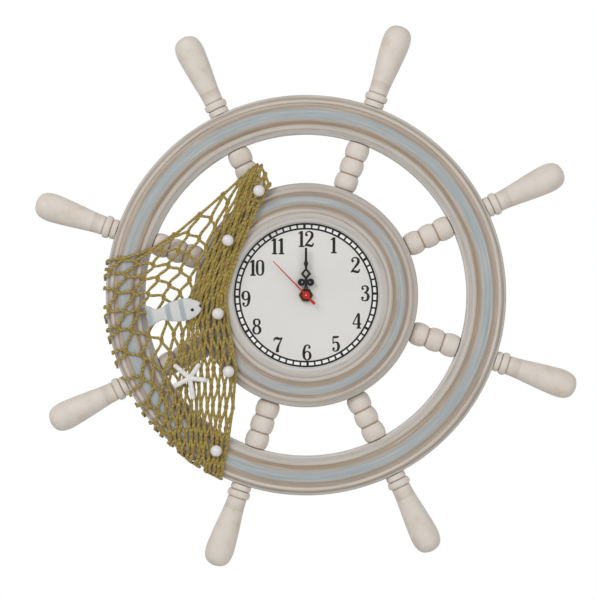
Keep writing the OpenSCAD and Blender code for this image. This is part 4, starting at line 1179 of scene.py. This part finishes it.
@dataclass
class Movement:
    """The second hand, the nut, the quartz movement and the hanger: CAD shapes with finishes."""

    plan: tuple[tuple[Finish, tuple[str, ...]], ...] = (
        (RED_ENAMEL, ("second_hand",)),
        (BRASS, ("hex_nut", "minute_arbor", "hanger_plate")),
        (LACQUER, ("dial_washer",)),
        (STEEL, ("dial_screws", "hanger_screws", "stator", "coil_core", "quartz_crystal",
                 "contact_plus", "contact_minus")),
        (CASE_PLASTIC, ("case_front", "case_back", "set_knob")),
        (GEAR_PLASTIC, ("middle_plate", "hour_wheel", "minute_wheel", "centre_wheel",
                        "third_wheel", "seconds_wheel", "intermediate_wheel")),
        (FERRITE, ("rotor",)),
        (COIL_WIRE, ("coil",)),
        (CIRCUIT, ("circuit_board",)),
        (CELL_SLEEVE, ("battery",)),
        (RUBBER, ("rubber_pad",)),
        (FIBREBOARD, ("dial_board",)),
    )

    def build(self) -> None:
        """Dresses every node that keeps its CAD shape."""
        for finish, nodes in self.plan:
            dress_nodes(finish, *nodes)


@dataclass
class FishingNet:
    """The draped net: knots at whole numbers of half meshes on a sheet stretched through the
    places of every fourth knot, drawn in, draped over hub and rim and folded over the rim's
    outer edge. twine_r is the source's twine, and strand_r half the width of what shows. A
    strand's pull is the share of its length by which it leaves its knots along the sheet's
    columns."""

    wheel: Wheel
    cols: int = 28
    rows: int = 20
    every: int = 4
    twine_r: float = 1.0
    strand_r: float = 1.28
    strand_pull: float = 0.9
    cord_pull: float = 0.1
    scatter: float = 1.0
    scatter_least: float = 0.45
    gathered_from: int = 12
    gathered_over: int = 4
    lift_any: float = 0.5
    turn_in: float = 0.3
    slack: float = 0.3
    knot_w: float = 2.1
    knot_w_min: float = 1.75
    knot_w_room: float = 0.7
    knot_w_vary: tuple[float, float] = (0.85, 1.12)
    knot_l: tuple[float, float] = (2.4, 3.6)
    knot_up: float = 1.7
    knot_lift: float = 0.15
    ridge_h: float = 0.16
    end_l: tuple[float, float] = (1.6, 3.4)
    end_r: float = 0.8
    end_thin: float = 0.45
    end_spread: float = 0.5
    end_bend: float = 0.8
    wrap_l: float = 12.0
    short_wrap: float = 2.0
    fold_h: float = 1.5
    fold_r: float = 3.0
    edge_past: float = 0.5
    sides: int = 6
    steps: int = 9
    seed: int = 11
    top_y: float = 114.0
    span: float = 278.0
    tip: tuple[int, ...] = (21, 23, 25, 22, 24, 26)
    plan: np.ndarray = field(default_factory=lambda: np.array([
        [[-236, 12], [-189, 28], [-141, 39], [-93, 72], [-57, 103], [-47, 112], [-40, 114],
         [-33, 97]],
        [[-214, -44], [-175, -12], [-131, 14], [-96, 28], [-82, 37], [-71, 46], [-60, 55],
         [-49, 63]],
        [[-200, -88], [-161, -51], [-122, -22], [-105, -23], [-97, -17], [-88, -11], [-78, -6],
         [-71, -3]],
        [[-172, -130], [-139, -97], [-121, -82], [-108, -74], [-98, -69], [-87, -66], [-75, -65],
         [-62, -64]],
        [[-148, -160], [-128, -132], [-117, -125], [-107, -125], [-97, -126], [-88, -128],
         [-79, -130], [-70, -133]],
        [[-132, -190], [-120, -165], [-113, -168], [-105, -173], [-97, -177], [-90, -178],
         [-83, -177], [-78, -173]],
    ], float))

    @property
    def gap(self) -> float:
        """Distance from the twine's middle line to what it lies on."""
        return self.slack + self.twine_r

    @property
    def half_meshes(self) -> tuple[np.ndarray, np.ndarray]:
        """Row and column of every half mesh."""
        rows, cols = np.arange(self.rows + 1), np.arange(self.cols + 1)
        return tuple(np.meshgrid(rows, cols, indexing="ij"))

    @staticmethod
    def turn_of(p: np.ndarray) -> np.ndarray:
        """Angle below the left of points on the face, in degrees."""
        return np.degrees(np.arctan2(-p[..., 1], -p[..., 0]))

    def flat(self) -> np.ndarray:
        """The flat sheet: smooth curves down the planned columns, and then along each row.

        Returns:
            The places of all half meshes, as (rows, columns, 2).
        """
        lines, count = self.plan.shape[:2]
        down = smooth_chain(self.plan.reshape(lines, -1), self.every)
        down = down.reshape(self.rows + 1, count, 2).transpose(1, 0, 2)
        across = smooth_chain(down.reshape(count, -1), self.every)
        return across.reshape(self.cols + 1, self.rows + 1, 2).transpose(1, 0, 2)

    def drawn(self, p: np.ndarray) -> np.ndarray:
        """Draws the sheet in where the fold is short over the handle in its way.

        Args:
            p: Points of the flat sheet.

        Returns:
            The points, drawn in past the rim's inner wall.
        """
        w = self.wheel
        handle = 270 - w.spoke_turn(6)
        root = w.handle_shape[1][1] * w.handle_d / 2
        room = math.degrees(math.atan((root + self.gap + self.knot_w) / w.rim_r))
        q = np.clip((np.abs(self.turn_of(p) - handle) - room) / 4, 0, 1)
        wrap = self.short_wrap + (self.wrap_l - self.short_wrap) * (1 - np.cos(np.pi * q)) / 2
        r = np.linalg.norm(p, axis=-1)
        share = (w.rim_r + wrap - w.rim_in) / (w.rim_r + self.wrap_l - w.rim_in)
        scale = np.where(r <= w.rim_in, 1, (w.rim_in + (r - w.rim_in) * share) / r)
        return p * scale[..., None]

    def cut(self, a: np.ndarray, b: np.ndarray) -> tuple[np.ndarray, np.ndarray, np.ndarray]:
        """Leads strands that leave the front over the rim's edge to where the fold ends: the
        outer end is drawn three tenths of the way round towards the inner one.

        Args:
            a: First ends.
            b: Second ends.

        Returns:
            Both ends, and which strands have an end on the front.
        """
        edge, far = self.wheel.rim_r + self.edge_past, self.wheel.rim_r + self.wrap_l
        near = 1 - self.turn_in
        ra, rb = (np.linalg.norm(p, axis=-1)[:, None] for p in (a, b))
        new_a = np.where(ra > edge, far * unit(self.turn_in * unit(b) + near * unit(a)), a)
        new_b = np.where(rb > edge, far * unit(self.turn_in * unit(a) + near * unit(b)), b)
        return new_a, new_b, (np.minimum(ra, rb) <= edge)[:, 0]

    def drape(self, p: np.ndarray, lift: np.ndarray) -> tuple[np.ndarray, np.ndarray]:
        """Lays flat points over the wheel: level on the hub and on the rim with a slope
        between them, a quarter turn of fold_r over the rim's edge, and straight down.

        Args:
            p: Points of the flat sheet.
            lift: Extra height out of the surface.

        Returns:
            The points, and the directions out of the surface.
        """
        w = self.wheel
        r = np.linalg.norm(p, axis=-1)
        d = p / r[..., None]
        heights = [w.hub_t + self.gap, w.rim_front + self.gap]
        z = np.interp(r, [w.hub_r - 3, w.rim_in + 4], heights)
        start = w.rim_r + self.gap - self.fold_r
        over = r - start
        a = np.clip(over / self.fold_r, 0, np.pi / 2)
        past = np.maximum(over - self.fold_r * np.pi / 2, 0)
        radius = np.where(over <= 0, r, start + self.fold_r * np.sin(a))
        height = z - self.fold_r * (1 - np.cos(a)) - past
        out = np.concatenate([d * np.sin(a)[..., None], np.cos(a)[..., None]], axis=-1)
        point = np.concatenate([d * radius[..., None], height[..., None]], axis=-1)
        return point + out * lift[..., None], out

    def lifts(self, rng: np.random.Generator) -> np.ndarray:
        """Heights of all half meshes: folds of four half meshes in the part gathered from
        column 12 on, flat at the bottom, and a little at random, up to a millimetre there and
        less where the net is open.

        Args:
            rng: Source of the small differences.

        Returns:
            The heights, as (rows, columns).
        """
        j, i = self.half_meshes
        gathered = np.clip((i - self.gathered_from) / self.gathered_over, 0, 1)
        fold = self.fold_h * gathered * (1 - j / self.rows) * (1 + np.sin(np.radians(90 * i)))
        return fold + rng.uniform(0, self.lift_any, i.shape) * (0.3 + 1.6 * gathered)

    def tubes(
        self, piece: Sewing, middle: np.ndarray, out: np.ndarray, radius: np.ndarray,
        tone: np.ndarray,
    ) -> None:
        """Sweeps a round section along many lines: middle + r (cos q side + sin q up), where
        side is across the line in the surface and up is square to both.

        Args:
            piece: The piece that gets them.
            middle: Middle lines, as (lines, points, 3).
            out: Directions out of the surface.
            radius: Radius at each point.
            tone: Tone at each point.
        """
        way = unit(np.gradient(middle, axis=1))
        side = unit(np.cross(way, out))
        up = np.cross(side, way)
        q = turn(self.sides)[:, None]
        section = np.cos(q) * side[:, :, None] + np.sin(q) * up[:, :, None]
        step = np.linalg.norm(np.diff(middle, axis=1), axis=-1)
        uv = np.zeros((*middle.shape[:2], self.sides + 1, 2))
        uv[:, 1:, :, 0] = np.cumsum(step, axis=1)[:, :, None]
        uv[..., 1] = np.arange(self.sides + 1) / self.sides
        ring = middle[:, :, None] + radius[:, :, None, None] * section
        piece.grid(ring, Ends.CAPPED, uv=uv, tone=tone[:, :, None])

    def strands(self) -> np.ndarray:
        """Lists the strands: one across each half mesh, to and fro, then the cords along the
        top edge, down the right edge and across the tip at the top right.

        Returns:
            Rows ja, jb, ia and ib: the row and column of the half meshes that each joins.
        """
        j, i = (x[:-1, :-1].ravel() for x in self.half_meshes)
        even = (i + j) % 2 == 0
        top = np.arange(4, self.cols, 2)
        side = np.arange(0, self.rows, 2)
        tip = np.array(self.tip)
        tip_j = 1 + (tip % 2 == 0)
        right = self.cols + 0 * side
        return np.array([
            np.concatenate([j, 0 * top, side, tip_j]),
            np.concatenate([j + 1, 0 * top, side + 2, tip_j]),
            np.concatenate([np.where(even, i, i + 1), top, right, tip]),
            np.concatenate([np.where(even, i + 1, i), top + 2, right, tip + 2]),
        ])

    def build(self) -> None:
        """The knots are scattered by about a millimetre, and by half of it where the net is
        gathered."""
        rng = np.random.default_rng(self.seed)
        j, i = self.half_meshes
        sheet = self.flat()
        loose = np.clip(1.7 - i / 10, self.scatter_least, 1)[..., None]
        knots = sheet + rng.normal(0, self.scatter, sheet.shape) * loose
        above, below = np.maximum(j - 1, 0), np.minimum(j + 1, self.rows)
        axis = unit(sheet[below, i] - sheet[above, i])
        lift = self.lifts(rng)

        ja, jb, ia, ib = self.strands()
        a, b, keep = self.cut(knots[ja, ia], knots[jb, ib])
        ja, jb, ia, ib, a, b = (x[keep] for x in (ja, jb, ia, ib, a, b))
        chord = np.linalg.norm(b - a, axis=-1)[:, None, None]
        across = jb == ja + 1
        pull = chord * np.where(across, self.strand_pull, self.cord_pull)[:, None, None]
        t = np.linspace(0, 1, self.steps)[None, :, None]
        line = cubic(t, a[:, None], b[:, None], pull * axis[ja, ia][:, None],
                     pull * axis[jb, ib][:, None])
        s = t[..., 0]
        height = lift[ja, ia][:, None] * (1 - s) + lift[jb, ib][:, None] * s
        middle, out = self.drape(self.drawn(line), height)
        radius = self.strand_r * (1 + 0.08 * np.sin(9 * s + ja[:, None])) + 0 * height
        twine = Sewing("net_twine")
        self.tubes(twine, middle, out, radius, np.abs(2 * s - 1) ** 3 + 0 * height)
        net = twine.place(NET_TWINE, "wheel", "net_twine", ("net",), 80)

        reach = np.linalg.norm(knots, axis=-1)
        on = ((i + j) % 2 == 0) & (reach <= self.wheel.rim_r + self.edge_past)
        knots = self.drawn(knots)
        room = np.linalg.norm(np.gradient(sheet, axis=1), axis=-1)
        lumps = self.build_knots(knots[on], axis[on], lift[on], room[on], rng)
        ends = self.build_ends(knots, lift, rng)

    def build_knots(
        self, p: np.ndarray, axis: np.ndarray, lift: np.ndarray, room: np.ndarray,
        rng: np.random.Generator,
    ) -> Object:
        """Knots: balls drawn out along the strands, with the two turns of the tied twine as
        ridges that run round them aslant.

        Args:
            p: Flat places of the knots.
            axis: Directions that the knots are drawn out along.
            lift: Heights out of the surface.
            room: Distances to the next half mesh.
            rng: Source of the small differences.

        Returns:
            The piece.
        """
        lift = lift + self.knot_lift
        centre, out = self.drape(p, lift)
        ahead, _ = self.drape(p + axis * 0.5, lift)
        way = unit(ahead - centre)
        side = unit(np.cross(way, out))
        up = np.cross(side, way)
        wide = np.clip(self.knot_w_room * room, self.knot_w_min, self.knot_w)
        wide = wide * rng.uniform(*self.knot_w_vary, len(p))
        long = rng.uniform(*self.knot_l, len(p))
        t = np.linspace(-1, 1, 9)[None, :, None]
        q = turn(8)[None, None, :]
        start = rng.uniform(0, 6, (len(p), 1, 1))
        ridge = 1 + self.ridge_h * np.cos(2.6 * np.pi * t + q + start)
        fat = np.sqrt(np.maximum(1 - t**2, 0)) * ridge
        parts = (
            (t * long[:, None, None], way),
            (fat * np.cos(q) * wide[:, None, None], side),
            (fat * np.sin(q) * self.knot_up, up),
        )
        ring = centre[:, None, None] + sum(n[..., None] * v[:, None, None] for n, v in parts)
        uv = np.stack(np.meshgrid(3 * np.arange(9) / 8, np.arange(9) / 8, indexing="ij"), axis=-1)
        piece = Sewing("net_knots").grid(ring, uv=uv, tone=1.0)
        return piece.place(NET_TWINE, "wheel", "net_twine", sharp=80)

    def build_ends(
        self, knots: np.ndarray, lift: np.ndarray, rng: np.random.Generator
    ) -> Object:
        """Cut ends of twine at the knots of the top edge and of the fold. They point outwards,
        bend at random and grow thinner to the tip.

        Args:
            knots: Flat places of all half meshes.
            lift: Their heights out of the surface.
            rng: Source of the small differences.

        Returns:
            The piece.
        """
        j, i = self.half_meshes
        r = np.linalg.norm(knots, axis=-1)
        edge = (np.abs(r - self.wheel.rim_r + 2.5) <= 3) | ((j == 0) & (i > 4))
        border = edge & ((i + j) % 2 == 0)
        p = knots[border]
        base, out = self.drape(p, lift[border])
        n = len(p)
        outward = np.concatenate([unit(p), np.zeros((n, 1))], axis=-1)
        way = unit(out * 0.9 + outward * 0.3 + rng.normal(0, self.end_spread, (n, 3)))
        way[:, 2] = np.abs(way[:, 2]) * np.where(out[:, 2] > 0.7, 0.4, 1)
        t = np.linspace(0, 1, 5)[None, :, None]
        reach = rng.uniform(*self.end_l, n)[:, None, None]
        bend = rng.normal(0, self.end_bend, (n, 1, 3)) * t**2
        middle = base[:, None] + unit(way)[:, None] * reach * t + bend
        radius = self.twine_r * self.end_r * (1 - self.end_thin * t[..., 0]) + np.zeros((n, 1))
        normal = np.broadcast_to(unit(out + 0.31)[:, None], middle.shape)
        piece = Sewing("net_cut_ends")
        self.tubes(piece, middle, normal, radius, np.zeros((n, 5)))
        return piece.place(NET_TWINE, "wheel", "net_twine", sharp=80)


@dataclass
class Beads:
    """Five round beads glued on the net, each with the small flat it sits on."""

    radius: float = 5.1
    count: int = 5
    flat_at: float = -0.9

    def build(self) -> None:
        """Each is a ball, cut flat at 0.9 of its radius behind."""
        for k in range(1, self.count + 1):
            low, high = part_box(f"bead_{k}")
            at = np.array([(low.x + high.x) / 2, (low.z + high.z) / 2, -low.y]) / MM
            at[2] -= self.radius
            shape = ball(33, 48)
            shape[..., 2] = np.maximum(shape[..., 2], self.flat_at)
            Sewing(f"bead_{k}_ball").grid(at + self.radius * shape).place(
                BEAD_PAINT, "wheel", "bead_white", (f"bead_{k}",))


@dataclass
class Ornaments:
    """The painted wooden fish and the cast starfish, placed as in the source."""

    net: FishingNet
    fish_l: float = 51.0
    fish_t: float = 4.0
    fish_crown: float = 0.8
    fish_sunk: float = 0.6
    fish_nose: tuple[float, float] = (-91.4, -9.4)
    fish_turn: float = 11.0
    fish_slope: float = 7.5
    fish_dots: tuple[tuple[float, float, float], ...] = ((8.9, -1.8, 1.6), (1.3, 0.2, 1.0))
    dot_h: float = 0.3
    dot_sunk: float = 0.12
    edge_tone: float = 0.8
    star_r: float = 17.2
    star_t: float = 4.0
    star_crown: float = 1.9
    star_arm: float = 0.125
    star_heart: float = 0.22
    star_at: tuple[float, float] = (-102.6, -73.3)
    star_slope: float = 7.0
    star_arms: tuple[tuple[float, float], ...] = (
        (-50, 1.08), (35, 0.91), (97, 0.93), (170, 1.13), (242, 0.96)
    )
    fish_outline: tuple[tuple[float, float], ...] = (
        (0.048, 0.014), (0.005, -0.046), (0.060, -0.105), (0.122, -0.146), (0.224, -0.186),
        (0.345, -0.198), (0.440, -0.192), (0.536, -0.172), (0.633, -0.144), (0.729, -0.112),
        (0.863, -0.146), (0.997, -0.200), (0.985, -0.070), (0.977, 0.055), (1.000, 0.196),
        (0.913, 0.162), (0.847, 0.107), (0.782, 0.094), (0.711, 0.110), (0.648, 0.127),
        (0.564, 0.162), (0.486, 0.174), (0.389, 0.187), (0.311, 0.193), (0.229, 0.177),
        (0.150, 0.144), (0.073, 0.104), (0.008, 0.048),
    )

    def over_net(self, at: tuple[float, float]) -> float:
        """Height above which the net never reaches at a place on its folds.

        Args:
            at: The place on the face.

        Returns:
            The height.
        """
        n = self.net
        point, _ = n.drape(np.array([at], float), np.zeros(1))
        fold = 2 * n.fold_h * (1 - (n.top_y - at[1]) / n.span)
        return float(point[0, 2]) + n.twine_r * 1.25 + n.slack + fold

    @staticmethod
    def tilt(points: np.ndarray, slope: float, swing: float) -> np.ndarray:
        """Turns points by a slope about y and then by a swing about z.

        Args:
            points: The points.
            slope: Degrees about y.
            swing: Degrees about z.

        Returns:
            The turned points.
        """
        s, c = math.sin(math.radians(-slope)), math.cos(math.radians(-slope))
        x, y, z = points[..., 0], points[..., 1], points[..., 2]
        x, z = c * x + s * z, -s * x + c * z
        s, c = math.sin(math.radians(swing)), math.cos(math.radians(swing))
        return np.stack([c * x - s * y, s * x + c * y, z], axis=-1)

    def fish_slab(self, edge: np.ndarray) -> np.ndarray:
        """A flat-backed board whose front rises as (sin q)^0.6 from its outline to the line
        from nose to tail.

        Args:
            edge: Outline points.

        Returns:
            Rows from the back's middle round the edge to the front's middle.
        """
        t, crown = self.fish_t, self.fish_crown
        along = np.clip(edge[:, 0], 0.12 * self.fish_l, 0.90 * self.fish_l)
        spine = np.column_stack([along, 0 * along])
        q = np.linspace(0, 1, 9)[1:]
        share = np.concatenate([[0, 0.97, 1, 1], 1 - q])[:, None, None]
        rise = t - crown + crown * np.sin(q * np.pi / 2) ** 0.6
        height = np.concatenate([[0, 0, 0.25, t - crown - 0.3], rise])[:, None, None]
        flat = spine[None] + (edge - spine)[None] * share
        return np.concatenate([flat, height * np.ones((1, len(edge), 1))], axis=-1)

    def build_fish(self) -> None:
        """The outline as smooth curves between its corners at the mouth, the lips and the
        tail tips, mirrored to face right, with a black eye and mouth."""
        outline = np.array(self.fish_outline + self.fish_outline[:1])
        corners = ((0, 1), (1, 11), (11, 14), (14, 27), (27, 28))
        parts = [smooth_chain(outline[a : b + 1], 6)[:-1] for a, b in corners]
        slab = self.fish_slab(np.vstack(parts) * self.fish_l)
        share = slab[..., :2] / self.fish_l
        uv = np.concatenate([share, share[:, :1]], axis=1)
        tone = np.zeros(slab.shape[:2])
        # The back and the sawn edge get painted shade
        tone[:4] = self.edge_tone
        place = np.array([*self.fish_nose, self.over_net(self.fish_nose) - self.fish_sunk])
        mirror, angles = np.array([-1, 1, 1]), (self.fish_slope, self.fish_turn)
        board = Sewing("fish_board")
        board.grid(self.tilt(slab * mirror, *angles) + place, uv=uv, tone=tone)
        board.place(FISH_PAINT, "wheel", "fish_wood", ("fish",))
        dots = Sewing("fish_eye_and_mouth")
        for x, y, r in self.fish_dots:
            lens = ball(9, 20) * [r, r, self.dot_h] + [x, y, self.fish_t - self.dot_sunk]
            dots.grid(self.tilt(lens * mirror, *angles) + place)
        dots.place(BLACK_ENAMEL, "wheel", "hand_black")

    def build_starfish(self) -> None:
        """Five arms with straight sides and round ends. Seen from the centre at an angle d off
        an arm, its edge is at half / sin d, or past the end's centre m at
        m cos d + (half^2 - m^2 sin^2 d)^0.5. Each arm's front is round across it."""
        a = np.radians(np.arange(0, 360, 1.5))[:, None]
        swing, share = np.array(self.star_arms).T
        half = self.star_arm * self.star_r
        m = self.star_r * share - half
        d = a - np.radians(swing)
        s, c = np.abs(np.sin(d)), np.cos(d)
        end = m * c + np.sqrt(np.maximum(half**2 - (m * s) ** 2, 0))
        side = half / np.maximum(s, 1e-6)
        reach = np.where(c <= 0, 0, np.where(s * m < half * c, end, side))
        r = np.maximum(reach.max(axis=1), self.star_heart * self.star_r)
        edge = np.stack([r * np.sin(a[:, 0]), r * np.cos(a[:, 0])], axis=-1)
        share = np.concatenate([[0, 0.97, 1, 1], np.linspace(1, 0, 15)])[:, None, None]
        flat = edge[None] * share
        axis = clock_point(np.ones(5), swing)
        run = np.clip(flat @ axis.T, 0, m)[..., None]
        off = np.linalg.norm(flat[:, :, None] - run * axis, axis=-1).min(axis=-1)
        side_t = self.star_t - self.star_crown
        height = side_t + self.star_crown * np.sqrt(np.maximum(1 - (off / half) ** 2, 0))
        height[:4] = np.array([0, 0, 0.25, side_t - 0.2])[:, None]
        slab = np.concatenate([flat, height[..., None]], axis=-1)
        place = np.array([*self.star_at, self.over_net(self.star_at)])
        Sewing("starfish_cast").grid(self.tilt(slab, self.star_slope, 0) + place).place(
            STAR_RESIN, "wheel", "star_resin", ("starfish",), 70)

    def build(self) -> None:
        """Makes both."""
        self.build_fish()
        self.build_starfish()


@dataclass
class Studio:
    """Camera straight in front, plain pale floor, and soft light: a key from the upper left
    and a fill from the right. The camera's distance, the floor and the lamps are in metres,
    and the centre, the height seen and the clock's front in millimetres."""

    distance: float = 2.4
    sensor: float = 36.0
    centre: tuple[float, float] = (-7.1, -4.3)
    height_seen: float = 532.0
    front: float = 26.0
    floor_half: float = 2.5
    floor_z: float = -0.8
    lamps: tuple[tuple[str, tuple[float, float, float], float, float], ...] = (
        ("key", (-1.3, -1.9, 1.3), 1.3, 28), ("fill", (1.5, -2.1, 0.2), 1.6, 13.5),
    )
    sky: float = 0.5

    def build_camera(self) -> None:
        """Adds the camera, whose frame is height_seen high at the clock's front."""
        data = bpy.data.cameras.new("camera")
        data.sensor_width = self.sensor
        data.lens = self.sensor * self.distance / MM / self.height_seen
        camera = show("camera", data)
        x, z = self.centre
        camera.location = (x * MM, -self.distance - self.front * MM, z * MM)
        camera.rotation_euler = (math.pi / 2, 0, 0)
        bpy.context.scene.camera = camera

    def build_floor(self) -> None:
        """Adds the floor."""
        s, z = self.floor_half, self.floor_z
        mesh = bpy.data.meshes.new("floor")
        mesh.from_pydata([(-s, -s, z), (s, -s, z), (s, s, z), (-s, s, z)], [], [(0, 1, 2, 3)])
        mesh.materials.append(FLOOR_PAINT.material())
        show("floor", mesh)

    def build_lamps(self) -> None:
        """Adds square soft boxes that face the clock."""
        for name, at, size, power in self.lamps:
            light = bpy.data.lights.new(name, "AREA")
            light.size, light.energy = size, power
            lamp = show(name, light)
            lamp.location = at
            lamp.rotation_euler = (-Vector(at)).to_track_quat("-Z", "Y").to_euler()

    def build_world(self) -> None:
        """Lights the clock by a half white world, which is fully white to the camera, through
        glass, and in a mirror of what is behind the clock."""
        world = bpy.context.scene.world = bpy.data.worlds.new("studio")
        world.use_nodes = True
        tree = world.node_tree
        tree.nodes.clear()
        path = add(tree, "LightPath").outputs
        way = add(tree, "SeparateXYZ", {0: add(tree, "TexCoord").outputs["Generated"]})
        behind = add(tree, "MapRange", {
            "Value": way.outputs["Y"], "From Min": -0.3, "From Max": 0.1})
        mirrored = add(tree, "Math", {0: path["Is Glossy Ray"], 1: behind}, operation="MULTIPLY")
        seen = add(tree, "Math", {0: path["Is Camera Ray"], 1: mirrored}, operation="MAXIMUM")
        white = add(tree, "Math", {0: seen, 1: path["Is Transmission Ray"]}, operation="MAXIMUM")
        strength = add(tree, "MapRange", {"Value": white, "To Min": self.sky, "To Max": 1.0})
        shade = add(tree, "Background", {"Color": (1, 1, 1, 1), "Strength": strength})
        add(tree, "OutputWorld", {"Surface": shade})

    def build(self) -> None:
        """Makes camera, floor, lamps and world."""
        self.build_camera()
        self.build_floor()
        self.build_lamps()
        self.build_world()
        bpy.context.scene.view_settings.view_transform = "Standard"


def main() -> None:
    """Builds every sub-assembly in order."""
    logging.basicConfig(level=logging.INFO, format="%(message)s")
    wheel = Wheel()
    net = FishingNet(wheel)
    for part in (Studio(), wheel, Dial(), Hands(), Movement(), net, Beads(), Ornaments(net)):
        part.build()
        LOG.info("%s: done", type(part).__name__)


if __name__ == "__main__":
    main()
